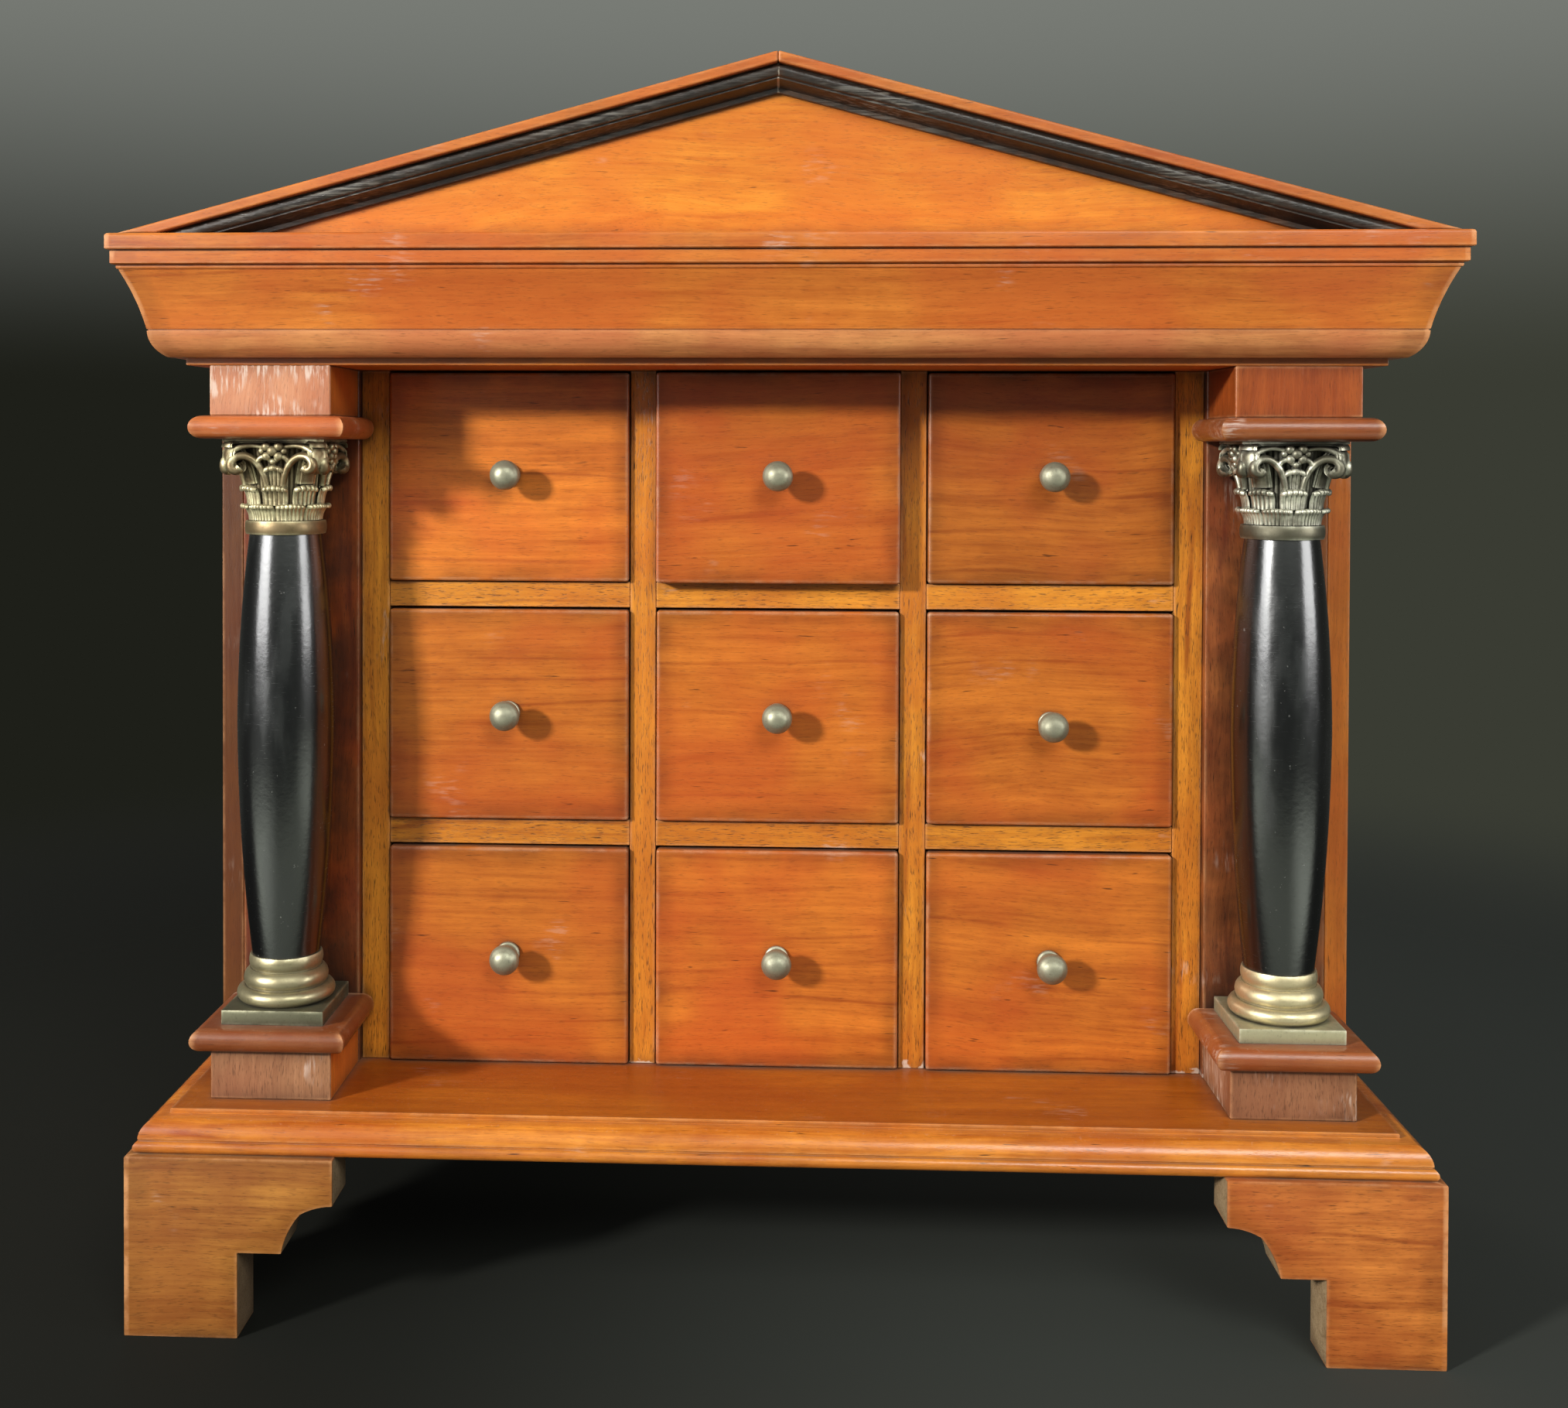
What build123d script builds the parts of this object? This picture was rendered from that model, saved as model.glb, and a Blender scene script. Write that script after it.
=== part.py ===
"""Tabletop chest of nine small drawers, built like the front of a classical temple.

Millimetres, +Z up, the front faces -Y. The origin is the middle of the footprint,
on the surface that the chest stands on.
"""

import os
from math import cos, radians, sin, tan

from build123d import *

os.makedirs("parts", exist_ok=True)

SIDES = (("left", -1), ("right", 1))
ROW_NAMES = ("bottom", "middle", "top")
COLUMN_NAMES = ("left", "centre", "right")

# Case: the plain box that holds the drawers
opening_width = 106.2
opening_heights = (96.0, 93.3, 92.4)
divider_thickness = 11.4
shelf_thickness = 11.2
partition_thickness = 12.5
pilaster_width = 51.3
pilaster_thickness = 12.0
pilaster_proud = 5.0
side_thickness = 9.5
back_thickness = 6.0
top_thickness = 10.0
case_depth = 168.0

# Base board with a worked edge on three sides, on four bracket feet
base_thickness = 14.5
base_reach = 63.0
base_side_reach = 3.0
base_step_drop = 1.8
base_step_tread = 2.5
base_ovolo_width = 7.5
base_ovolo_drop = 7.2
base_quirk = 0.8
base_bead_reach = 11.6
foot_height = 72.5
foot_reach = 14.0
foot_length = 84.5
foot_thickness = 22.0
leg_width = 46.0
leg_height = 34.5
bracket_step = 63.8
bracket_cusp_x = 71.5
bracket_cusp_z = 50.5
bracket_nose_z = 54.0
bracket_nose_sag = 0.9

# Columns: block, cap, brass base, turned shaft, capital, cap, block
block_width = 50.5
block_depth = 46.5
block_height = 20.8
cap_overhang = 6.9
cap_thickness = 9.5
column_wall_gap = 0.6
plinth_width = 42.8
plinth_height = 6.0
ring_radius = 15.4
ring_height = 5.4
upper_torus_radius = 17.6
upper_torus_height = 6.4
lower_torus_radius = 20.4
lower_torus_height = 6.4
torus_groove = 0.6
shaft_foot_radius = 14.2
shaft_belly_radius = 20.2
shaft_head_radius = 15.1
shaft_belly_level = 0.553
tenon_radius = 6.0
tenon_depth = 7.0
tenon_clearance = 0.15

# Capital: collar, bell, two tiers of leaves, corner scrolls, flowers, hollow-sided plate
capital_height = 40.0
collar_radius = 16.9
collar_height = 6.2
bell_radius = 15.4
bell_lip_radius = 18.4
leaf_count = 8
leaf_width = 9.6
leaf_thickness = 1.5
leaf_curl = 2.0
leaf_root_inset = 0.6
lower_leaf_top = 13.6
upper_leaf_top = 21.6
upper_leaf_reach = 1.2
scroll_radius = 4.4
scroll_eye_radius = 1.8
scroll_eye_proud = 0.7
scroll_thickness = 4.4
scroll_reach = 25.5
scroll_level = 30.4
plate_half_width = 21.8
plate_hollow = 3.0
plate_height = 4.0
flower_radius = 3.6
flower_proud = 1.6

# Cornice moulding round the front and both sides
shadow_gap = 3.0
cornice_height = 48.7
cornice_projection = 24.5
cornice_foot = 5.5
ovolo_height = 10.8
ovolo_reach = 11.9
cove_height = 23.5
cove_reach = 20.2
bead_height = 2.3
bead_reach = 20.9
middle_fillet_height = 5.5
middle_fillet_reach = 22.9
top_fillet_round = 1.4

# Pediment: tympanum board, ebonised raking mouldings, two thin roof boards
roof_pitch = 15.0
roof_thickness = 4.3
roof_eave_reach = 21.0
roof_front_inset = 2.0
raking_setback = 2.5
raking_depth = 11.0
raking_height = 9.8
raking_torus_share = 0.48
raking_torus_round = 1.0
raking_hollow_depth = 2.0
raking_fillet = 2.0
tympanum_thickness = 9.0
tip_cut = 6.0
gable_thickness = 8.0

# Drawers
drawer_proud = 3.0
drawer_side_gap = 0.4
drawer_gap_below = 0.3
drawer_gap_above = 1.0
drawer_back_gap = 3.0
front_thickness = 15.0
front_arris = 1.2
front_lap = 8.0
box_inset = 0.3
box_side = 6.0
box_headroom = 5.0
box_bottom = 3.0
box_bottom_rise = 3.0
groove_depth = 2.5
centre_drawer_open = 6.0
knob_rise = 1.0
low_knob_drop = 2.5
knob_radius = 6.4
knob_length = 16.0
knob_dome = 5.6
knob_rim = 1.6
knob_neck_radius = 3.6
knob_foot_radius = 5.0
knob_foot_thickness = 1.8
stud_radius = 1.8
stud_length = 12.0
stud_clearance = 0.15

# Places that follow from the sizes above
inner_half = (len(COLUMN_NAMES) * opening_width + (len(COLUMN_NAMES) - 1) * divider_thickness) / 2
partition_outer = inner_half + partition_thickness
pilaster_outer = partition_outer + pilaster_width
case_half = pilaster_outer + side_thickness
case_height = sum(opening_heights) + (len(ROW_NAMES) - 1) * shelf_thickness
total_depth = base_reach + foot_reach + case_depth
front_y = -total_depth / 2
back_y = total_depth / 2
face_y = front_y + foot_reach + base_reach
pilaster_face_y = face_y - pilaster_proud
panel_y = back_y - back_thickness
base_edge_y = face_y - base_reach
base_edge_half = case_half + base_side_reach
foot_half = base_edge_half + foot_reach
base_top = foot_height + base_thickness
case_top = base_top + case_height

scroll_half = (scroll_reach + scroll_radius + scroll_thickness / 2) * cos(radians(45))
column_half = max(plinth_width / 2, plate_half_width, scroll_half)
column_x = partition_outer + pilaster_width / 2
column_y = pilaster_face_y - column_wall_gap - column_half
block_front_y = pilaster_face_y - block_depth
pedestal_top = base_top + block_height + cap_thickness
impost_bottom = case_top - block_height - cap_thickness
torus_join = plinth_height + lower_torus_height
upper_torus_top = torus_join + torus_groove + upper_torus_height
brass_base_height = upper_torus_top + torus_groove + ring_height
shaft_foot = pedestal_top + brass_base_height
shaft_head = impost_bottom - capital_height
bore_radius = tenon_radius + tenon_clearance
plate_foot = capital_height - plate_height

cornice_bottom = case_top + shadow_gap
cornice_top = cornice_bottom + cornice_height
cornice_half = case_half + cornice_projection
cornice_front_y = block_front_y - cornice_projection
pitch = radians(roof_pitch)
eave_half = case_half + roof_eave_reach
roof_seat_half = eave_half - roof_thickness / sin(pitch)
roof_front_y = cornice_front_y + roof_front_inset
ridge_under = cornice_top + roof_seat_half * tan(pitch)
ridge_top = cornice_top + eave_half * tan(pitch)
tympanum_face_y = roof_front_y + raking_setback + raking_depth

front_width = opening_width - 2 * drawer_side_gap
box_width = front_width - 2 * box_inset
box_depth = panel_y - drawer_back_gap - (face_y - drawer_proud) - front_thickness


def span_box(x_range, y_range, z_range, mode=Mode.ADD):
    """Box between two corners, added to or cut from the part under construction."""
    x_low, x_high = sorted(x_range)
    with Locations(((x_low + x_high) / 2, sum(y_range) / 2, sum(z_range) / 2)):
        Box(x_high - x_low, y_range[1] - y_range[0], z_range[1] - z_range[0], mode=mode)


def plain_board(x_range, y_range, z_range):
    """Plain board between two corners."""
    with BuildPart() as board:
        span_box(x_range, y_range, z_range)
    return board


def bore(x, y, z_low, z_high, radius):
    """Upright round hole in the part under construction."""
    with Locations((x, y, (z_low + z_high) / 2)):
        Cylinder(radius, z_high - z_low, mode=Mode.SUBTRACT)


def outward_plane(x, y, z, outward):
    """Upright plane whose local x runs outwards and whose local y runs up."""
    direction = Vector(*outward, 0)
    return Plane(origin=(x, y, z), x_dir=direction, z_dir=direction.cross(Vector(0, 0, 1)))


def plan_outline(*points):
    """Flat outline on the floor plane, used to cut mitres."""
    with BuildSketch(Plane.XY) as plan:
        with BuildLine():
            Polyline(*points, close=True)
        make_face()
    return plan.sketch


def write_part(name, builder):
    """Label one finished piece and write it."""
    builder.part.label = name
    export_step(builder.part, f"parts/{name}.step")


def write_group(name, builders):
    """Several loose solids that share one node."""
    group = Compound(label=name, children=[builder.part for builder in builders])
    export_step(group, f"parts/{name}.step")


def base_edge(plane, inward):
    """Section of the base board's edge: flat top, small step, ovolo, quirk and bead."""
    step = base_thickness - base_step_drop
    ovolo_end = base_step_tread + base_ovolo_width
    ovolo_foot = step - base_ovolo_drop
    bead = ovolo_foot - base_quirk
    with BuildSketch(plane) as section:
        with BuildLine():
            Polyline((-inward, 0), (-inward, base_thickness), (0, base_thickness), (0, step),
                     (base_step_tread, step))
            ThreePointArc((base_step_tread, step),
                          (base_step_tread + 0.72 * base_ovolo_width, step - 0.3 * base_ovolo_drop),
                          (ovolo_end, ovolo_foot))
            Line((ovolo_end, ovolo_foot), (ovolo_end, bead))
            ThreePointArc((ovolo_end, bead), (base_bead_reach, bead / 2), (ovolo_end, 0))
            Line((ovolo_end, 0), (-inward, 0))
        make_face()
    return section.sketch


def bullnose_edge(plane, inward):
    """Section of a cap board's half-round edge; the plane stands at the nose."""
    radius = cap_thickness / 2
    with BuildSketch(plane) as section:
        with BuildLine():
            Polyline((-radius, 0), (-inward, 0), (-inward, cap_thickness), (-radius, cap_thickness))
            ThreePointArc((-radius, cap_thickness), (0, radius), (-radius, 0))
        make_face()
    return section.sketch


def cornice_section(plane):
    """Section of the cornice: ovolo below, long cove, bead, two fillets on top."""
    cove_top = ovolo_height + cove_height
    bead_top = cove_top + bead_height
    fillet_top = bead_top + middle_fillet_height
    round_start = cornice_height - top_fillet_round
    with BuildSketch(plane) as section:
        with BuildLine():
            Polyline((0, cornice_height), (0, 0), (cornice_foot, 0))
            ThreePointArc((cornice_foot, 0),
                          (cornice_foot + 0.68 * (ovolo_reach - cornice_foot), 0.36 * ovolo_height),
                          (ovolo_reach, ovolo_height))
            ThreePointArc((ovolo_reach, ovolo_height),
                          (ovolo_reach + 0.42 * (cove_reach - ovolo_reach),
                           ovolo_height + 0.52 * cove_height),
                          (cove_reach, cove_top))
            Polyline((cove_reach, cove_top), (bead_reach, bead_top), (middle_fillet_reach, bead_top),
                     (middle_fillet_reach, fillet_top), (cornice_projection, fillet_top),
                     (cornice_projection, round_start))
            JernArc((cornice_projection, round_start), (0, 1), top_fillet_round, 90)
            Line((cornice_projection - top_fillet_round, cornice_height), (0, cornice_height))
        make_face()
    return section.sketch


def bracket_face(plane):
    """Face of a bracket foot; local x runs in from the corner, local y up from the floor."""
    nose_middle = ((foot_length + bracket_cusp_x) / 2, bracket_nose_z - bracket_nose_sag)
    hollow_middle = (bracket_step + 0.32 * (bracket_cusp_x - bracket_step),
                     (bracket_cusp_z + leg_height) / 2)
    with BuildSketch(plane) as face:
        with BuildLine():
            Polyline((bracket_step, leg_height), (leg_width, leg_height), (leg_width, 0), (0, 0),
                     (0, foot_height), (foot_length, foot_height), (foot_length, bracket_nose_z))
            ThreePointArc((foot_length, bracket_nose_z), nose_middle, (bracket_cusp_x, bracket_cusp_z))
            ThreePointArc((bracket_cusp_x, bracket_cusp_z), hollow_middle, (bracket_step, leg_height))
        make_face()
    return face.sketch


def three_edge_board(edge, x, half_width, edge_y, back, underside, reach):
    """Board with the same worked edge on its front and both ends, mitred at the corners."""
    depth = back - edge_y
    width = 2 * (half_width + reach)
    front = edge(outward_plane(x, edge_y, underside, (0, -1)), depth)
    right = edge(outward_plane(x + half_width, back, underside, (1, 0)), width)
    left = edge(outward_plane(x - half_width, back, underside, (-1, 0)), width)
    with BuildPart() as board:
        extrude(front, amount=width / 2, both=True)
        extrude(right, amount=depth + reach, mode=Mode.INTERSECT)
        extrude(left, amount=-depth - reach, mode=Mode.INTERSECT)
    return board


def cap_board(x, underside, bore_low, bore_high):
    """Bullnose cap board against the pilaster, with a hole for the shaft's tenon."""
    half = block_width / 2 + cap_overhang
    nose_y = block_front_y - cap_overhang
    cap = three_edge_board(bullnose_edge, x, half, nose_y, pilaster_face_y, underside, 0)
    with cap:
        bore(x, column_y, bore_low, bore_high, bore_radius)
    return cap


def brass_base(x):
    """Square plinth with two tori and a rounded ring, bored for the shaft's tenon."""
    lower_neck = upper_torus_radius - torus_groove
    upper_neck = ring_radius - torus_groove
    ring_foot = upper_torus_top + torus_groove
    with BuildPart() as base:
        with BuildSketch(Plane(origin=(x, column_y, pedestal_top))):
            Rectangle(plinth_width, plinth_width)
        extrude(amount=plinth_height)
        with BuildSketch(outward_plane(x, column_y, pedestal_top, (1, 0))):
            with BuildLine():
                Polyline((lower_neck, plinth_height), (0, plinth_height), (0, brass_base_height),
                         (upper_neck, brass_base_height))
                ThreePointArc((upper_neck, brass_base_height),
                              (ring_radius, (ring_foot + brass_base_height) / 2),
                              (upper_neck, ring_foot))
                Line((upper_neck, ring_foot), (upper_neck, upper_torus_top))
                ThreePointArc((upper_neck, upper_torus_top),
                              (upper_torus_radius, upper_torus_top - 0.62 * upper_torus_height),
                              (lower_neck, torus_join + torus_groove))
                Line((lower_neck, torus_join + torus_groove), (lower_neck, torus_join))
                ThreePointArc((lower_neck, torus_join),
                              (lower_torus_radius, plinth_height + 0.42 * lower_torus_height),
                              (lower_neck, plinth_height))
            make_face()
        revolve(axis=Axis((x, column_y, 0), (0, 0, 1)))
        bore(x, column_y, pedestal_top, shaft_foot, bore_radius)
    return base


def turned_shaft(x):
    """Barrel-shaped shaft with a tenon at each end."""
    length = shaft_head - shaft_foot
    belly = shaft_belly_level * length
    lower_radius = shaft_foot_radius + 0.56 * (shaft_belly_radius - shaft_foot_radius)
    upper_radius = shaft_head_radius + 0.5 * (shaft_belly_radius - shaft_head_radius)
    foot_tenon = brass_base_height + tenon_depth
    head_tenon = length + capital_height + tenon_depth
    with BuildPart() as shaft:
        with BuildSketch(outward_plane(x, column_y, shaft_foot, (1, 0))):
            with BuildLine():
                Spline((shaft_foot_radius, 0), (lower_radius, 0.44 * belly), (shaft_belly_radius, belly),
                       (upper_radius, belly + 0.68 * (length - belly)), (shaft_head_radius, length))
                Polyline((shaft_head_radius, length), (tenon_radius, length), (tenon_radius, head_tenon),
                         (0, head_tenon), (0, -foot_tenon), (tenon_radius, -foot_tenon),
                         (tenon_radius, 0), (shaft_foot_radius, 0))
            make_face()
        revolve(axis=Axis((x, column_y, 0), (0, 0, 1)))
    return shaft


def leaf_tier(x, top, reach, turn):
    """One tier of round-tipped leaves that rise along the bell and curl out at the tip."""
    inside = bell_radius - leaf_thickness
    outside = bell_radius + leaf_thickness + reach
    tip = outside + leaf_curl
    curl_level = top - 1.5 * leaf_curl
    half_width = leaf_width / 2
    root = collar_radius - leaf_root_inset
    with BuildPart() as tongues:
        for number in range(leaf_count):
            angle = radians(turn + number * 360 / leaf_count)
            radial = Vector(cos(angle), sin(angle), 0)
            plane = Plane(origin=(x, column_y, shaft_head), x_dir=(-sin(angle), cos(angle), 0),
                          z_dir=radial)
            with BuildSketch(plane.offset(inside)):
                with BuildLine():
                    Polyline((-half_width, top - half_width), (-half_width, collar_height),
                             (half_width, collar_height), (half_width, top - half_width))
                    ThreePointArc((half_width, top - half_width), (0, top), (-half_width, top - half_width))
                make_face()
            extrude(amount=tip - inside)
    with BuildPart() as tier:
        with BuildSketch(outward_plane(x, column_y, shaft_head, (1, 0))):
            with BuildLine():
                Polyline((inside, top), (inside, collar_height), (root, collar_height),
                         (outside, curl_level - leaf_curl), (tip, curl_level),
                         (tip - leaf_curl / 3, curl_level + leaf_curl), (outside, curl_level + leaf_curl / 2),
                         (bell_radius, top), close=True)
            make_face()
        revolve(axis=Axis((x, column_y, 0), (0, 0, 1)))
        add(tongues.part, mode=Mode.INTERSECT)
    return tier.part


def corner_scroll(x, angle):
    """Corner volute: a stalk that leaves the bell and rolls up under the plate, with an eye."""
    inside = bell_radius - leaf_thickness
    stalk = bell_radius + leaf_thickness
    plane = outward_plane(x, column_y, shaft_head, (cos(radians(angle)), sin(radians(angle))))
    with BuildPart() as scroll:
        with BuildSketch(plane):
            with BuildLine():
                Polyline((scroll_reach, plate_foot), (inside, plate_foot), (inside, upper_leaf_top),
                         (stalk, upper_leaf_top))
                ThreePointArc((stalk, upper_leaf_top), (stalk + leaf_thickness, scroll_level),
                              (scroll_reach, plate_foot - leaf_thickness))
                Line((scroll_reach, plate_foot - leaf_thickness), (scroll_reach, plate_foot))
            make_face()
            with Locations((scroll_reach, scroll_level)):
                Circle(scroll_radius)
        extrude(amount=scroll_thickness / 2, both=True)
        with BuildSketch(plane):
            with Locations((scroll_reach, scroll_level)):
                Circle(scroll_eye_radius)
        extrude(amount=scroll_thickness / 2 + scroll_eye_proud, both=True)
    return scroll.part


def leafy_capital(x):
    """Capital carved in the leafy order, bored for the shaft's tenon."""
    corners = [Vector(plate_half_width, plate_half_width).rotate(Axis.Z, 90 * turn) for turn in range(5)]
    hollows = [Vector(0, plate_half_width - plate_hollow).rotate(Axis.Z, 90 * turn) for turn in range(4)]
    flower_reach = plate_half_width - plate_hollow
    ornaments = [leaf_tier(x, lower_leaf_top, 0, 0),
                 leaf_tier(x, upper_leaf_top, upper_leaf_reach, 180 / leaf_count)]
    ornaments += [corner_scroll(x, 45 + 90 * turn) for turn in range(4)]
    with BuildPart() as capital:
        with BuildSketch(outward_plane(x, column_y, shaft_head, (1, 0))):
            with BuildLine():
                Polyline((bell_radius, upper_leaf_top), (bell_radius, collar_height),
                         (collar_radius, collar_height), (collar_radius, 0), (0, 0), (0, plate_foot),
                         (bell_lip_radius, plate_foot))
                ThreePointArc((bell_lip_radius, plate_foot), (bell_radius + 0.6, scroll_level),
                              (bell_radius, upper_leaf_top))
            make_face()
        revolve(axis=Axis((x, column_y, 0), (0, 0, 1)))
        with BuildSketch(Plane(origin=(x, column_y, shaft_head + plate_foot))):
            with BuildLine():
                for turn in range(4):
                    ThreePointArc(corners[turn], hollows[turn], corners[turn + 1])
            make_face()
        extrude(amount=plate_height)
        for turn in range(4):
            angle = radians(90 * turn)
            plane = Plane(origin=(x, column_y, shaft_head), x_dir=(-sin(angle), cos(angle), 0),
                          z_dir=(cos(angle), sin(angle), 0))
            with BuildSketch(plane.offset(bell_radius)):
                with Locations((0, capital_height - flower_radius)):
                    Circle(flower_radius)
            extrude(amount=flower_reach - bell_radius + flower_proud)
        add(ornaments)
        bore(x, column_y, shaft_head, impost_bottom, bore_radius)
    return capital


def drawer_front(x, y, z, height, knob_z):
    """Drawer front with eased arrises, rebated for the sides and grooved for the bottom."""
    rear = y + front_thickness
    side_x = box_width / 2 - box_side
    groove_z = z + box_bottom_rise
    with BuildPart() as front:
        span_box((x - front_width / 2, x + front_width / 2), (y, rear), (z, z + height))
        fillet(front.faces().sort_by(Axis.Y)[0].edges(), front_arris)
        for hand in (-1, 1):
            span_box((x + hand * side_x, x + hand * front_width), (rear - front_lap, rear),
                     (z, z + height), Mode.SUBTRACT)
        span_box((x - side_x, x + side_x), (rear - groove_depth, rear), (groove_z, groove_z + box_bottom),
                 Mode.SUBTRACT)
        with BuildSketch(Plane(origin=(x, y, knob_z), x_dir=(1, 0, 0), z_dir=(0, 1, 0))):
            Circle(stud_radius + stud_clearance)
        extrude(amount=front_thickness, mode=Mode.SUBTRACT)
    return front


def drawer_box(x, y, z, height):
    """Two sides, a back and a thin bottom let into grooves."""
    rear = y + front_thickness
    end = rear + box_depth
    top = z + height - box_headroom
    side_x = box_width / 2 - box_side
    floor_x = side_x + groove_depth
    floor_z = (z + box_bottom_rise, z + box_bottom_rise + box_bottom)
    walls = []
    for hand in (-1, 1):
        with BuildPart() as wall:
            span_box((x + hand * side_x, x + hand * box_width / 2), (rear - front_lap, end), (z, top))
            span_box((x + hand * side_x, x + hand * floor_x), (rear - front_lap, end), floor_z,
                     Mode.SUBTRACT)
        walls.append(wall)
    end_board = plain_board((x - side_x, x + side_x), (end - box_side, end), (floor_z[1], top))
    with BuildPart() as floor:
        span_box((x - floor_x, x + floor_x), (rear, end), floor_z)
        span_box((x - side_x, x + side_x), (rear - groove_depth, rear), floor_z)
    return walls + [end_board, floor]


def drawer_knob(x, y, z):
    """Turned brass knob on a stud that screws through the drawer front."""
    head = knob_length - knob_dome
    neck = (knob_foot_thickness + head - knob_rim) / 2
    with BuildPart() as knob:
        with BuildSketch(Plane(origin=(x, y, z), x_dir=(1, 0, 0), z_dir=(0, 0, -1))):
            with BuildLine():
                TangentArc((0, knob_length), (knob_radius, head), tangent=(1, 0))
                Line((knob_radius, head), (knob_radius, head - knob_rim))
                ThreePointArc((knob_radius, head - knob_rim), (knob_neck_radius, neck),
                              (knob_foot_radius, knob_foot_thickness))
                Polyline((knob_foot_radius, knob_foot_thickness), (knob_foot_radius, 0),
                         (stud_radius, 0), (stud_radius, -stud_length), (0, -stud_length),
                         (0, knob_length))
            make_face()
        revolve(axis=Axis((x, y, z), (0, -1, 0)))
    return knob


# Base board
base_board = three_edge_board(base_edge, 0, base_edge_half, base_edge_y, back_y, foot_height,
                              base_bead_reach)
write_part("base_board", base_board)

# Bracket feet: a face and a side return mitred at the front, a side return and a block behind
for side_name, side in SIDES:
    corner_x = side * foot_half
    inside_x = corner_x - side * foot_thickness
    end_x = corner_x - side * foot_length
    mitre_y = front_y + foot_thickness
    with BuildPart() as foot_face:
        extrude(bracket_face(outward_plane(corner_x, front_y, 0, (-side, 0))), amount=side * foot_thickness)
        extrude(plan_outline((corner_x, front_y), (end_x, front_y), (end_x, mitre_y), (inside_x, mitre_y)),
                amount=foot_height, mode=Mode.INTERSECT)
    with BuildPart() as foot_return:
        extrude(bracket_face(outward_plane(corner_x, front_y, 0, (0, 1))), amount=-side * foot_thickness)
        extrude(plan_outline((corner_x, front_y), (inside_x, mitre_y), (inside_x, front_y + foot_length),
                             (corner_x, front_y + foot_length)),
                amount=foot_height, mode=Mode.INTERSECT)
    write_group(f"foot_front_{side_name}", [foot_face, foot_return])

    with BuildPart() as foot_side:
        extrude(bracket_face(outward_plane(corner_x, back_y, 0, (0, -1))), amount=side * foot_thickness)
    foot_block = plain_board((inside_x, corner_x - side * leg_width), (back_y - foot_thickness, back_y),
                             (0, foot_height))
    write_group(f"foot_back_{side_name}", [foot_side, foot_block])

# Case boards: sides, pilasters, end partitions, dividers, shelves, back and top
case_z = (base_top, case_top)
for side_name, side in SIDES:
    write_part(f"case_side_{side_name}", plain_board(
        (side * pilaster_outer, side * case_half), (pilaster_face_y, back_y), case_z))
    write_part(f"pilaster_{side_name}", plain_board(
        (side * partition_outer, side * pilaster_outer),
        (pilaster_face_y, pilaster_face_y + pilaster_thickness), case_z))

opening_x = [(number - (len(COLUMN_NAMES) - 1) / 2) * (opening_width + divider_thickness)
             for number in range(len(COLUMN_NAMES))]
opening_z = [base_top + sum(opening_heights[:number]) + number * shelf_thickness
             for number in range(len(ROW_NAMES))]
inside_y = (face_y, panel_y)

write_group("end_partitions", [
    plain_board((side * inner_half, side * partition_outer), inside_y, case_z)
    for side_name, side in SIDES])
write_group("dividers", [
    plain_board((x + opening_width / 2, x + opening_width / 2 + divider_thickness), inside_y, case_z)
    for x in opening_x[:-1]])
write_group("shelves", [
    plain_board((x - opening_width / 2, x + opening_width / 2), inside_y, (z - shelf_thickness, z))
    for z in opening_z[1:] for x in opening_x])
write_part("back_panel", plain_board((-pilaster_outer, pilaster_outer), (panel_y, back_y), case_z))
write_part("top_board", plain_board((-case_half, case_half), (block_front_y, back_y),
                                    (case_top, case_top + top_thickness)))

# Columns with their blocks and caps
block_y = (block_front_y, pilaster_face_y)
for side_name, side in SIDES:
    x = side * column_x
    block_x = (x - block_width / 2, x + block_width / 2)
    lower_block = plain_board(block_x, block_y, (base_top, base_top + block_height))
    lower_cap = cap_board(x, base_top + block_height, pedestal_top - tenon_depth, pedestal_top)
    write_group(f"pedestal_{side_name}", [lower_block, lower_cap])
    upper_cap = cap_board(x, impost_bottom, impost_bottom, impost_bottom + tenon_depth)
    upper_block = plain_board(block_x, block_y, (case_top - block_height, case_top))
    write_group(f"impost_{side_name}", [upper_cap, upper_block])
    write_part(f"column_base_{side_name}", brass_base(x))
    write_part(f"column_shaft_{side_name}", turned_shaft(x))
    write_part(f"capital_{side_name}", leafy_capital(x))

# Cornice: front length and two returns, mitred
front_section = cornice_section(outward_plane(0, block_front_y, cornice_bottom, (0, -1)))
front_plan = plan_outline((-cornice_half, cornice_front_y), (cornice_half, cornice_front_y),
                          (case_half, block_front_y), (-case_half, block_front_y))
with BuildPart() as cornice_front:
    extrude(front_section, amount=cornice_half, both=True)
    extrude(front_plan, amount=cornice_top, mode=Mode.INTERSECT)
write_part("cornice_front", cornice_front)

for side_name, side in SIDES:
    return_section = cornice_section(outward_plane(side * case_half, back_y, cornice_bottom, (side, 0)))
    return_plan = plan_outline((side * case_half, block_front_y), (side * cornice_half, cornice_front_y),
                               (side * cornice_half, back_y), (side * case_half, back_y))
    with BuildPart() as cornice_return:
        extrude(return_section, amount=side * (back_y - cornice_front_y))
        extrude(return_plan, amount=cornice_top, mode=Mode.INTERSECT)
    write_part(f"cornice_{side_name}", cornice_return)

# Tympanum, standing on the cornice under the roof boards
tip_half = roof_seat_half - tip_cut
tip_top = cornice_top + tip_cut * tan(pitch)
with BuildPart() as tympanum:
    with BuildSketch(Plane.XZ.offset(-tympanum_face_y)):
        with BuildLine():
            Polyline((-tip_half, cornice_top), (tip_half, cornice_top), (tip_half, tip_top),
                     (0, ridge_under), (-tip_half, tip_top), close=True)
        make_face()
    extrude(amount=-tympanum_thickness)
write_part("tympanum", tympanum)

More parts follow.
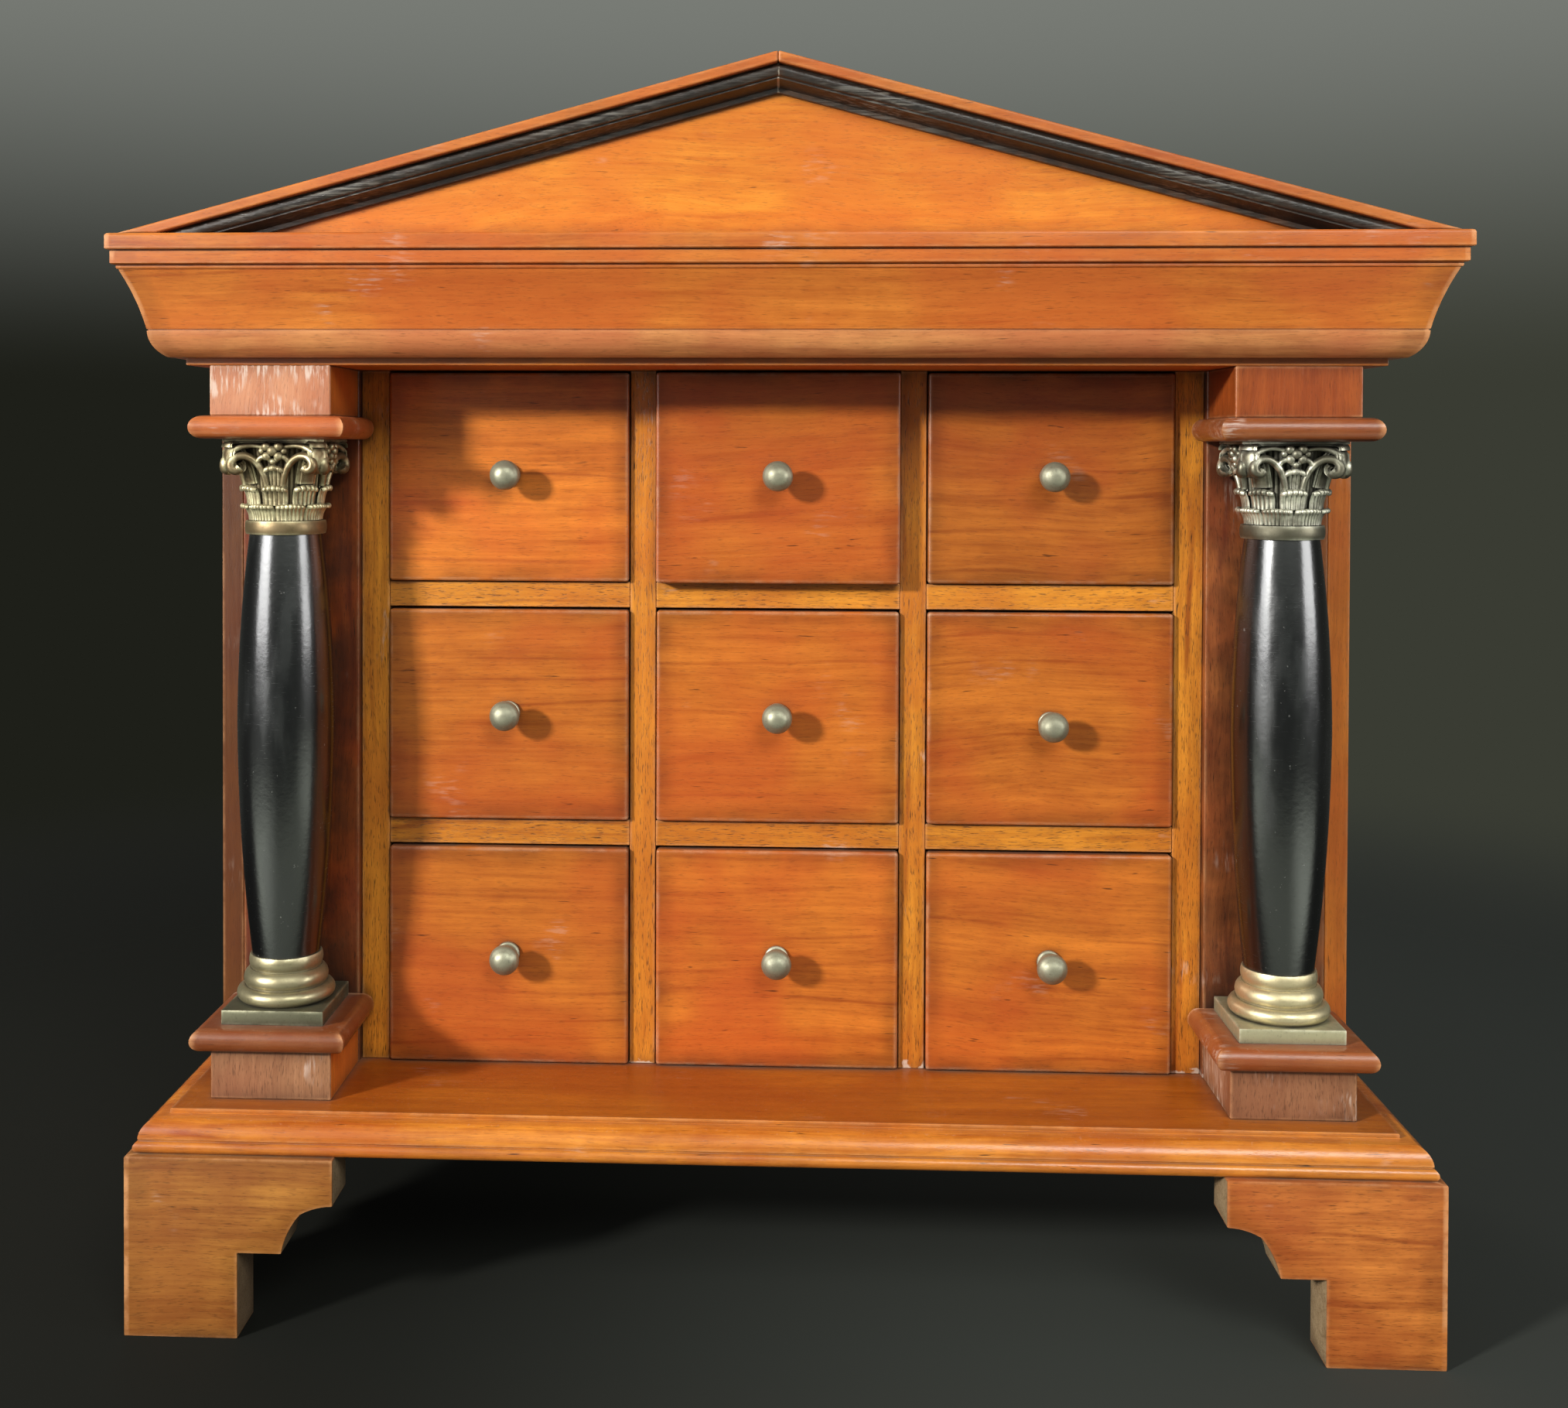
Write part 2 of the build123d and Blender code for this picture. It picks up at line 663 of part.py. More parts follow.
# Back gable, from the top board to the roof, between the cornice returns
gable_half = min(case_half, tip_half)
gable_eave = cornice_top + (roof_seat_half - gable_half) * tan(pitch)
with BuildPart() as back_gable:
    with BuildSketch(Plane.XZ.offset(-back_y)):
        with BuildLine():
            Polyline((-gable_half, case_top + top_thickness), (gable_half, case_top + top_thickness),
                     (gable_half, gable_eave), (0, ridge_under), (-gable_half, gable_eave), close=True)
        make_face()
    extrude(amount=gable_thickness)
write_part("back_gable", back_gable)


def raking_section(side):
    """Section of the raking moulding under one roof board: torus, hollow, fillet."""
    torus = raking_torus_share * raking_height
    hollow_foot = raking_height - raking_fillet
    hollow_middle = (torus + hollow_foot) / 2
    plane = Plane(origin=(0, tympanum_face_y, ridge_under), x_dir=(0, -1, 0),
                  z_dir=(-side * cos(pitch), 0, sin(pitch)))
    with BuildSketch(plane) as section:
        with BuildLine():
            Line((0, 0), (raking_depth - raking_torus_round, 0))
            ThreePointArc((raking_depth - raking_torus_round, 0), (raking_depth, -side * torus / 2),
                          (raking_depth - raking_torus_round, -side * torus))
            ThreePointArc((raking_depth - raking_torus_round, -side * torus),
                          (raking_fillet + raking_hollow_depth, -side * hollow_middle),
                          (raking_fillet, -side * hollow_foot))
            Polyline((raking_fillet, -side * hollow_foot), (raking_fillet, -side * raking_height),
                     (0, -side * raking_height), (0, 0))
        make_face()
    return section.sketch


# Roof boards and raking mouldings, mitred at the ridge and cut level on the cornice
for side_name, side in SIDES:
    with BuildPart() as roof_board:
        with BuildSketch(Plane.XZ.offset(-roof_front_y)):
            with BuildLine():
                Polyline((0, ridge_under), (0, ridge_top), (side * eave_half, cornice_top),
                         (side * roof_seat_half, cornice_top), close=True)
            make_face()
        extrude(amount=roof_front_y - back_y)
    write_part(f"roof_{side_name}", roof_board)

    with BuildPart() as raking_moulding:
        extrude(raking_section(side), amount=eave_half / cos(pitch), both=True)
        span_box((0, side * eave_half), (roof_front_y, tympanum_face_y), (cornice_top, ridge_top),
                 Mode.INTERSECT)
    write_part(f"raking_moulding_{side_name}", raking_moulding)

# Nine drawers; the top centre one stands a little open, and one knob sits low on its front
for row_name, z, opening_height in zip(ROW_NAMES, opening_z, opening_heights):
    floor_z = z + drawer_gap_below
    front_height = opening_height - drawer_gap_below - drawer_gap_above
    for column_name, x in zip(COLUMN_NAMES, opening_x):
        place = (row_name, column_name)
        drawer = f"drawer_{row_name}_{column_name}"
        knob_z = floor_z + front_height / 2 + knob_rise
        drawer_y = face_y - drawer_proud
        if place == ("middle", "right"):
            knob_z -= low_knob_drop
        if place == ("top", "centre"):
            drawer_y -= centre_drawer_open
        write_part(f"{drawer}_front", drawer_front(x, drawer_y, floor_z, front_height, knob_z))
        write_group(f"{drawer}_box", drawer_box(x, drawer_y, floor_z, front_height))
        write_part(f"{drawer}_knob", drawer_knob(x, drawer_y, knob_z))

print(f"Overall {2 * cornice_half:.1f} x {total_depth:.1f} x {ridge_top:.1f} mm")
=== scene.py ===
"""Looks of the tabletop chest of drawers: finishes, carved and turned detail, floor, lights and camera."""

import logging
import math
from dataclasses import dataclass, field, replace
from enum import Enum
from typing import Callable, Optional, Sequence

import bmesh
import bpy
from mathutils import Matrix, Vector


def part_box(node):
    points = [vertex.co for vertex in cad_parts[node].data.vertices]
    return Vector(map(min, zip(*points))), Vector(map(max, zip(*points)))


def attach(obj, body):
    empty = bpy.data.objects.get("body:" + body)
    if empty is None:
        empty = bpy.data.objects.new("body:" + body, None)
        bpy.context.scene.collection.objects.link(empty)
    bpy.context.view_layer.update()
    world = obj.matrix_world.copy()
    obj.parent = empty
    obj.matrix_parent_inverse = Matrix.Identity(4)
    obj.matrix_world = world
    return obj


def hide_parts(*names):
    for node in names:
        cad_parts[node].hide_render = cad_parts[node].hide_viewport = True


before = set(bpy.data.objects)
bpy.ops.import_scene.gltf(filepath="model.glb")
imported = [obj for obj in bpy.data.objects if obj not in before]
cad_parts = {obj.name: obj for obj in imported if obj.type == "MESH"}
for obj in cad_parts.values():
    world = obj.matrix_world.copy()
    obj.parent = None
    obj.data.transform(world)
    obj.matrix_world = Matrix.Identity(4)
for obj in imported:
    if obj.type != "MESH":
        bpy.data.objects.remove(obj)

logging.basicConfig(level=logging.INFO, format="%(message)s")
LOG = logging.getLogger("chest")

MM = 0.001
PHOTO_WIDTH, PHOTO_HEIGHT = 2027, 1820
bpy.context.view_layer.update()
BODY = "case"
SIDES = (("left", -1), ("right", 1))
# Points closer than this are one point, in a new mesh and in a CAD node.
SAME_PLACE = 0.002 * MM
CAD_SAME_PLACE = 0.01 * MM
LEAST_RADIUS = 0.0001 * MM

Point = tuple[float, float, float]
Pair = tuple[float, float]
Curve = tuple[Pair, Pair, Pair]
Colour = tuple[float, float, float]
Form = bmesh.types.BMesh
Piece = bpy.types.Object
Material = bpy.types.Material
Tree = bpy.types.NodeTree


class Grain(Enum):
    """Way that a board's grain runs, as the turn that brings it onto local X."""

    ACROSS = (0.0, 0.0, 0.0)
    DEEP = (0.0, 0.0, math.radians(-90))
    UPRIGHT = (0.0, math.radians(90), 0.0)


def tone(red: int, green: int, blue: int) -> Colour:
    """Linear colour of a tone that is given as it looks on screen, 0 to 255."""
    return tuple(((value / 255 + 0.055) / 1.055) ** 2.4 if value > 10 else value / 255 / 12.92
                 for value in (red, green, blue))


PALE_DUST = tone(222, 200, 184)
PALE_FILLER = tone(226, 214, 200)


class Value:
    """Output of a node; arithmetic with it adds the nodes that work out the result."""

    def __init__(self, graph: "Graph", socket: bpy.types.NodeSocket) -> None:
        """Keep the output and its graph."""
        self.graph = graph
        self.socket = socket

    def math(self, operation: str, other: object = 0.0) -> "Value":
        """Result of one arithmetic node, on vectors where this is one."""
        kind = "ShaderNodeVectorMath" if self.socket.type in ("VECTOR", "RGBA") else "ShaderNodeMath"
        return self.graph.value(kind, {0: self, 1: other}, operation=operation)

    def __add__(self, other: object) -> "Value":
        """Sum of both."""
        return self.math("ADD", other)

    def __sub__(self, other: object) -> "Value":
        """This less the other."""
        return self.math("SUBTRACT", other)

    def __mul__(self, other: object) -> "Value":
        """Product of both."""
        return self.math("MULTIPLY", other)

    def __abs__(self) -> "Value":
        """Distance from nought."""
        return self.math("ABSOLUTE")

    def clamped(self) -> "Value":
        """The same value, held between 0 and 1."""
        self.socket.node.use_clamp = True
        return self

    def scaled(self, share: object) -> "Value":
        """Vector made longer or shorter."""
        return self.graph.value("ShaderNodeVectorMath", {0: self, "Scale": share}, operation="SCALE")

    def part(self, axis: int) -> "Value":
        """One part of a vector."""
        return self.graph.value("ShaderNodeSeparateXYZ", {0: self}, axis)

    def ramp(self, low: object, high: object, start: float = 0.0, end: float = 1.0) -> "Value":
        """Smooth step from low to high, as start to end."""
        return self.graph.value("ShaderNodeMapRange", {0: self, 1: low, 2: high, 3: start, 4: end},
                                interpolation_type="SMOOTHSTEP")

    def noise(self, scale: float, detail: float = 3.0, roughness: float = 0.55,
              output: object = 0) -> "Value":
        """Noise at this place."""
        return self.graph.value("ShaderNodeTexNoise", {"Vector": self, "Scale": scale, "Detail": detail,
                                                       "Roughness": roughness}, output)

    def stretched(self, scale: Point, detail: float = 3.0) -> "Value":
        """Noise at this place with its own scale along each axis."""
        return (self * scale).noise(1.0, detail)


class Graph:
    """Node tree under construction."""

    def __init__(self, tree: Tree) -> None:
        """Keep the tree that the nodes go into."""
        self.tree = tree

    def put(self, socket: bpy.types.NodeSocket, value: object) -> None:
        """Link a socket, or set it where the value is a plain number, colour or vector.

        Args:
            socket: The input.
            value: What goes into it.
        """
        if isinstance(value, Value):
            self.tree.links.new(value.socket, socket)
        elif isinstance(value, tuple) and len(value) == 3 and socket.type == "RGBA":
            socket.default_value = (*value, 1.0)
        else:
            socket.default_value = value

    def node(self, kind: str, values: Optional[dict] = None, **settings: object) -> bpy.types.Node:
        """Add a node.

        Args:
            kind: Blender's name of the node type.
            values: What goes into its sockets, by socket name or number.
            settings: The node's own properties.

        Returns:
            The new node.
        """
        made = self.tree.nodes.new(kind)
        for name, setting in settings.items():
            setattr(made, name, setting)
        for name, value in (values or {}).items():
            self.put(made.inputs[name], value)
        return made

    def value(self, kind: str, values: Optional[dict] = None, output: object = 0,
              **settings: object) -> Value:
        """Add a node and give one of its outputs, by name or number."""
        return Value(self, self.node(kind, values, **settings).outputs[output])

    def mix(self, factor: object, first: object, second: object) -> Value:
        """Colour between two colours."""
        return self.value("ShaderNodeMix", {0: factor, 6: first, 7: second}, 2, data_type="RGBA")

    def given(self, kinds: dict[str, str]) -> dict[str, Value]:
        """Inputs of a node group, from the socket type of each.

        Args:
            kinds: Socket type of each input, by name.

        Returns:
            The inputs as values, by name.
        """
        for label, kind in kinds.items():
            self.tree.interface.new_socket(name=label, in_out="INPUT", socket_type=kind)
        source = self.node("NodeGroupInput")
        return {label: Value(self, source.outputs[label]) for label in kinds}

    def give(self, kind: str, **results: Value) -> Tree:
        """Name the results of a node group, which are all of one socket type, and return its tree.

        Args:
            kind: Socket type of the results.
            results: The results by name.

        Returns:
            The group's tree.
        """
        for label in results:
            self.tree.interface.new_socket(name=label, in_out="OUTPUT", socket_type=kind)
        self.node("NodeGroupOutput", results)
        return self.tree


FLOAT, VECTOR = "NodeSocketFloat", "NodeSocketVector"


def start_effect(name: str, *numbers: str) -> tuple[Graph, Value, dict[str, Value]]:
    """Start a shader group of a place and some numbers; gives its graph, the place and the numbers.

    Args:
        name: The group's name.
        numbers: Names of the numbers that it takes.

    Returns:
        Its graph, the place that it is asked for, and all its inputs by name.
    """
    graph = Graph(bpy.data.node_groups.new(name, "ShaderNodeTree"))
    given = graph.given({"place": VECTOR, **dict.fromkeys(numbers, FLOAT)})
    return graph, given["place"], given


def grain_effect() -> Tree:
    """Wood grain along local X: bands, streaks, growth lines, soft mottle, flecks and open pores.

    Returns:
        The group, which takes place, seed, wander, coarseness and growth.
    """
    graph, place, given = start_effect("wood_grain", "seed", "wander", "coarseness", "growth")
    seed = given["seed"]
    place = place + graph.value("ShaderNodeCombineXYZ", {0: seed * 3.7, 1: seed * 1.3, 2: seed * 2.1})
    bend = (place.noise(6.0, 2.0, output="Color") - (0.5, 0.5, 0.5)).scaled(given["wander"])
    wandering = place + bend * (0.0, 1.0, 1.0)
    wide = wandering.scaled(given["coarseness"])
    band = wide.stretched((5.0, 60.0, 60.0)).ramp(0.3, 0.7)
    ribbon = wide.stretched((17.0, 240.0, 240.0)).ramp(0.3, 0.7)
    streak = wide.stretched((26.0, 900.0, 900.0))
    mottle = place.stretched((95.0, 150.0, 150.0)).ramp(0.3, 0.7)
    rings = wide.part(2) * 60.0 + wide.stretched((3.0, 22.0, 22.0), 1.0) * 3.5
    shown = place.stretched((9.0, 30.0, 30.0), 1.0).ramp(0.42, 0.62)
    growth = abs(rings.math("FRACT") - 0.5).ramp(0.1, 0.0) * shown
    pore = wandering.stretched((240.0, 2600.0, 2600.0), 2.0).ramp(0.55, 0.7)
    figure = band * 0.36 + ribbon * 0.28 + streak.ramp(0.32, 0.68) * 0.2 + mottle * 0.16
    return graph.give(FLOAT, figure=(figure - growth * given["growth"]).clamped(), streak=streak,
                      cloud=place.noise(15.0, 2.0), pore=pore, height=streak * 0.5 - pore,
                      fleck=wandering.stretched((70.0, 900.0, 900.0), 2.0).ramp(0.68, 0.78))


def wear_effect() -> Tree:
    """Masks of worn arrises that also stand in for a painted highlight, of dirty inner corners that also
    stand in for painted shade, and of dark margins, all broken up by noise.

    Returns:
        The group, which takes place, rub_width and dirt_width.
    """
    graph, place, given = start_effect("edge_wear", "rub_width", "dirt_width")

    def openness(reach: str, inside: bool) -> Value:
        """How open a point is, over the piece's outside or through its own body."""
        return graph.value("ShaderNodeAmbientOcclusion", {"Distance": given[reach]}, "AO", inside=inside,
                           only_local=inside, samples=4)

    patchy = place.noise(90.0, 4.0, 0.65).ramp(0.36, 0.66)
    grubby = place.noise(45.0).ramp(0.25, 0.7)
    return graph.give(
        FLOAT,
        # Arris mask: wear, and a painted highlight along edges. Corner mask: soiling, and painted shade in
        # corners and creases.
        rub=(openness("rub_width", True).ramp(0.93, 0.52) * (patchy * 0.85 + 0.15)).clamped(),
        dirt=(openness("dirt_width", False).ramp(0.86, 0.3) * (grubby * 0.6 + 0.4)).clamped(),
        margin=(openness("dirt_width", True).ramp(0.97, 0.6) * (grubby * 0.7 + 0.3)).clamped())


def dust_effect() -> Tree:
    """Masks of settled dust on level faces and of scattered pale scuffs.

    Returns:
        The group, which takes place, dirt and scuff_level.
    """
    graph, place, given = start_effect("dust_and_scuffs", "dirt", "scuff_level")
    level = graph.value("ShaderNodeNewGeometry", output="Normal").part(2).ramp(0.6, 0.98)
    specks = place.noise(700.0, 2.0).ramp(0.62, 0.74)
    patches = place.noise(30.0).ramp(given["scuff_level"], given["scuff_level"] + 0.12)
    scratches = place.stretched((110.0, 800.0, 800.0), 4.0).ramp(0.47, 0.64)
    return graph.give(FLOAT, dust=(level * (given["dirt"] * 0.8 + specks * 0.5)).clamped(),
                      scuff=(patches * scratches).clamped())


GRAIN, WEAR, DUST = grain_effect(), wear_effect(), dust_effect()


class Surface(Graph):
    """Node tree of a new material with a Principled shader."""

    def __init__(self, name: str) -> None:
        """Start the material.

        Args:
            name: Name of the material.
        """
        self.material = bpy.data.materials.new(name)
        self.material.use_nodes = True
        super().__init__(self.material.node_tree)
        self.shader = self.tree.nodes["Principled BSDF"]
        self.place = self.value("ShaderNodeTexCoord", output="Object")

    def moved(self, location: Point, turn: Point = (0.0, 0.0, 0.0)) -> Value:
        """Place in a pattern that is moved and turned on the piece."""
        return self.value("ShaderNodeMapping", {"Vector": self.place, "Location": location, "Rotation": turn})

    def effect(self, tree: Tree, place: Value, **numbers: object) -> dict[str, Value]:
        """Results of a shared effect at a place.

        Args:
            tree: The effect.
            place: Place in its pattern.
            numbers: Its other inputs by name.

        Returns:
            Its results by name.
        """
        made = self.node("ShaderNodeGroup", node_tree=tree)
        for name, value in {"place": place, **numbers}.items():
            self.put(made.inputs[name], value)
        return {output.name: Value(self, output) for output in made.outputs}

    def layered(self, colour: Value, *layers: tuple[Value, float, object]) -> Value:
        """Colour with paints over it, each given by its mask, the mask's share and the paint.

        Args:
            colour: Colour underneath.
            layers: Mask, share and paint of each layer.

        Returns:
            The painted colour.
        """
        for mask, share, paint in layers:
            colour = self.mix(mask * share, colour, paint)
        return colour

    def finished(self, colour: Value, rough: Value, relief: tuple[Value, float, float],
                 others: Optional[dict] = None) -> Material:
        """Set the shader's inputs.

        Args:
            colour: Base colour.
            rough: Roughness.
            relief: Height of the fine relief, its strength and its depth.
            others: More inputs by name.

        Returns:
            The material.
        """
        height, strength, depth = relief
        bump = self.value("ShaderNodeBump", {"Height": height, "Strength": strength, "Distance": depth})
        inputs = {"Base Color": colour, "Roughness": rough, "Normal": bump, **(others or {})}
        for name, value in inputs.items():
            self.put(self.shader.inputs[name], value)
        return self.material


@dataclass(frozen=True)
class WoodFinish:
    """Polished wood: figure, flecks and pores, worn arrises with a painted highlight, soiled corners with
    painted shade, filler, dust and scuffs.
    """

    name: str
    light: Colour
    dark: Colour
    red: Colour
    rub_and_highlight_colour: Colour = tone(236, 172, 118)
    dirt: Colour = tone(40, 20, 8)
    roughness: float = 0.4
    gloss: float = 0.3
    wander: float = 0.02
    coarseness: float = 1.0
    pores: float = 0.25
    flecks: float = 0.5
    rub: float = 0.55
    rub_width: float = 1.6 * MM
    grime_and_shade: float = 0.7
    grime_and_shade_width: float = 8.0 * MM
    dust: float = 0.12
    scuffs: float = 0.1
    relief: float = 0.1
    relief_depth: float = 0.4 * MM
    clouds: Pair = (0.38, 0.66)
    redness: float = 0.6
    streak_roughness: float = 0.14
    grime_roughness: float = 0.2
    filler: float = 0.0
    filler_level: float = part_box("base_board")[1].z
    filler_reach: float = 6.0 * MM
    filler_gap: float = 0.4 * MM
    filler_edge: float = 1.2 * MM
    growth: float = 0.3
    margin: float = 0.25
    scuff_level: float = 0.62

    def shaded(self, name: str, share: float) -> "WoodFinish":
        """Copy of the finish made darker or lighter, used both for boards of another tone and for painted
        light and shade.

        Args:
            name: The copy's name.
            share: Below 1 for darker wood, above for lighter.

        Returns:
            The copy.
        """
        light, dark, red = (tuple(part * share for part in colour)
                            for colour in (self.light, self.dark, self.red))
        return replace(self, name=name, light=light, dark=dark, red=red)

    def material(self, grain: Grain, seed: float) -> Material:
        """Make the material for one board.

        Args:
            grain: Way that the board's grain runs.
            seed: Which stretch of timber it is cut from.

        Returns:
            The finished material.
        """
        surface = Surface(f"{self.name}_{grain.name.lower()}_{seed:g}")
        place = surface.moved((0.0, 0.0, 0.0), grain.value)
        wood = surface.effect(GRAIN, place, seed=seed, wander=self.wander, coarseness=self.coarseness,
                              growth=self.growth)
        wear = surface.effect(WEAR, place, rub_width=self.rub_width, dirt_width=self.grime_and_shade_width)
        dust = surface.effect(DUST, place, dirt=wear["dirt"], scuff_level=self.scuff_level)
        colour = surface.mix(wood["figure"], self.dark, self.light)
        redder = surface.mix(self.redness, colour, self.red)
        colour = surface.mix(wood["cloud"].ramp(*self.clouds), colour, redder)
        # Pale colour on arrises is wear and a painted highlight; dark colour in corners and creases is
        # soiling and painted shade.
        colour = surface.layered(
            colour, (wood["pore"], self.pores, self.dirt), (wood["fleck"], self.flecks, self.dirt),
            (wear["margin"], self.margin, self.dirt), (wear["dirt"], self.grime_and_shade, self.dirt),
            (wear["rub"], self.rub, self.rub_and_highlight_colour), (dust["scuff"], self.scuffs, PALE_DUST),
            (dust["dust"], self.dust, PALE_DUST))
        if self.filler:
            colour = surface.mix(self.filler_mask(surface.place), colour, PALE_FILLER)
        rough = wood["streak"] * self.streak_roughness + (self.roughness - self.streak_roughness / 2)
        rough = rough + wear["dirt"] * self.grime_roughness
        return surface.finished(colour, rough, (wood["height"], self.relief, self.relief_depth),
                                {"Specular IOR Level": self.gloss})

    def filler_mask(self, place: Value) -> Value:
        """Mask of the broken line of pale filler where a board meets the one that it stands on.

        Args:
            place: Place on the object.

        Returns:
            The mask, from 0 to 1.
        """
        away = abs(place.part(2) - self.filler_level)
        reach = place.noise(75.0, 4.0, 0.65).ramp(0.42, 0.75) * self.filler_reach - self.filler_gap
        return ((reach - away).ramp(0.0, self.filler_edge) * self.filler).clamped()


@dataclass(frozen=True)
class EbonisedFinish:
    """Black stained moulding, dry and worn grey in streaks along its length."""

    name: str = "ebonised"
    black: Colour = tone(36, 32, 29)
    dry: Colour = tone(130, 126, 116)
    brown: Colour = tone(100, 68, 46)
    filler: Colour = tone(188, 178, 160)
    filler_half_width: float = 0.4 * MM
    wander: float = 0.01
    coarseness: float = 1.3
    dryness: float = 0.85
    rub: float = 0.55
    rub_width: float = 3.0 * MM
    grime_and_shade_width: float = 6.0 * MM
    roughness: Pair = (0.34, 0.62)
    relief: Pair = (0.3, 0.4 * MM)

    def material(self, seed: float) -> Material:
        """Make the material; the grain runs across, and a filled mitre shows at the middle.

        Args:
            seed: Which stretch of timber the moulding is cut from.

        Returns:
            The finished material.
        """
        surface = Surface(f"{self.name}_{seed:g}")
        place = surface.place
        wood = surface.effect(GRAIN, place, seed=seed, wander=self.wander, coarseness=self.coarseness)
        wear = surface.effect(WEAR, place, rub_width=self.rub_width, dirt_width=self.grime_and_shade_width)
        dry = (place.noise(16.0).ramp(0.4, 0.72) * wood["streak"].ramp(0.44, 0.66)).clamped()
        colour = surface.mix(dry * self.dryness, self.black, self.dry)
        colour = surface.mix(wear["rub"] * self.rub, colour, self.brown)
        seam = abs(place.part(0)).math("LESS_THAN", self.filler_half_width)
        colour = surface.mix(seam * place.noise(260.0).ramp(0.4, 0.5), colour, self.filler)
        return surface.finished(colour, dry.ramp(0.0, 1.0, *self.roughness), (wood["height"], *self.relief))


@dataclass(frozen=True)
class BlackPolish:
    """Deep black polish on the turned shafts, with faint smears and fine scratches."""

    name: str = "black_polish"
    black: Colour = tone(7, 7, 8)
    bloom: Colour = tone(26, 29, 28)
    nicked: Colour = tone(150, 150, 145)
    rub_and_highlight_colour: Colour = tone(90, 84, 76)
    smears: float = 0.35
    nicks: float = 0.5
    rub: float = 0.25
    rub_width: float = 2.0 * MM
    grime_and_shade_width: float = 8.0 * MM
    roughness: Pair = (0.2, 0.3)
    scratch_roughness: float = 0.1
    relief: Pair = (0.12, 1.0 * MM)
    gloss: float = 1.0

    def material(self, seed: float) -> Material:
        """Make the material for one shaft.

        Args:
            seed: Where the shaft's smears and scratches lie.

        Returns:
            The finished material.
        """
        surface = Surface(f"{self.name}_{seed:g}")
        place = surface.moved((seed, 0.0, 0.0))
        smear = place.stretched((70.0, 70.0, 18.0)).ramp(0.45, 0.75)
        scratch = place.stretched((260.0, 260.0, 2600.0)).ramp(0.6, 0.75)
        nick = place.noise(520.0, 3.0, 0.7).ramp(0.68, 0.74)
        wear = surface.effect(WEAR, place, rub_width=self.rub_width, dirt_width=self.grime_and_shade_width)
        colour = surface.mix(smear * self.smears, self.black, self.bloom)
        colour = surface.layered(colour, (nick, self.nicks, self.nicked),
                                 (wear["rub"], self.rub, self.rub_and_highlight_colour))
        rough = smear.ramp(0.0, 1.0, *self.roughness) + scratch * self.scratch_roughness
        peel = place.stretched((90.0, 90.0, 30.0), 2.0) + place.noise(420.0, 2.0) * 0.35
        return surface.finished(colour, rough, (peel, *self.relief), {"Specular IOR Level": self.gloss})


@dataclass(frozen=True)
class BrassFinish:
    """Old brass: dark in its hollows, bright where it is worn, with a painted highlight on its arrises, dull
    between.
    """

    name: str
    bright: Colour
    dull: Colour
    hollow: Colour = tone(38, 34, 24)
    rub: float = 0.9
    rub_width: float = 1.4 * MM
    hollow_width: float = 3.5 * MM
    roughness: float = 0.34
    cloud_roughness: float = 0.18
    grime_roughness: float = 0.25
    tarnish: float = 0.45
    spots: float = 0.25
    metal: float = 0.85
    hollow_metal: float = 0.3
    relief: Pair = (0.12, 0.3 * MM)

    def material(self, seed: float) -> Material:
        """Make the material for one casting or turning.

        Args:
            seed: Where the piece's tarnish and spots lie.

        Returns:
            The finished material.
        """
        surface = Surface(f"{self.name}_{seed:g}")
        place = surface.moved((seed, seed, 0.0))
        wear = surface.effect(WEAR, place, rub_width=self.rub_width, dirt_width=self.hollow_width)
        cloud = place.noise(130.0, 4.0, 0.6).ramp(0.35, 0.68)
        spots = place.noise(900.0, 2.0).ramp(0.6, 0.72)
        colour = surface.mix(cloud * self.tarnish, self.dull, surface.mix(0.5, self.dull, self.hollow))
        # Bright colour on arrises: wear and a painted highlight.
        colour = surface.mix(wear["rub"] * self.rub, colour, self.bright)
        colour = surface.mix(wear["dirt"], colour, self.hollow)
        colour = surface.mix(spots * self.spots, colour, self.hollow)
        rough = cloud * self.cloud_roughness + self.roughness + wear["dirt"] * self.grime_roughness
        return surface.finished(colour, rough.clamped(), (place.noise(620.0), *self.relief),
                                {"Metallic": wear["dirt"].ramp(0.2, 1.0, self.metal, self.hollow_metal)})


CORNICE_WOOD = WoodFinish("cornice_wood", tone(228, 137, 54), tone(169, 81, 25), tone(194, 90, 37),
                          roughness=0.34, wander=0.012, scuffs=0.32, grime_and_shade=0.8, flecks=0.7)
# The cornice's lowest ovolo gets a paler, greyer copy of the wood.
GREYER_CORNICE_WOOD = replace(CORNICE_WOOD, name="dusty_cornice_wood", light=tone(232, 160, 95),
                             dark=tone(158, 86, 48), red=tone(194, 106, 66))
TYMPANUM_WOOD = WoodFinish("tympanum_wood", tone(232, 146, 44), tone(192, 98, 24), tone(204, 104, 32),
                           roughness=0.38, wander=0.03, scuffs=0.2)
BASE_WOOD = WoodFinish("base_wood", tone(242, 154, 54), tone(156, 70, 17), tone(178, 84, 26),
                       roughness=0.24, wander=0.012, gloss=0.55, dust=0.25, scuffs=0.3, flecks=0.9)
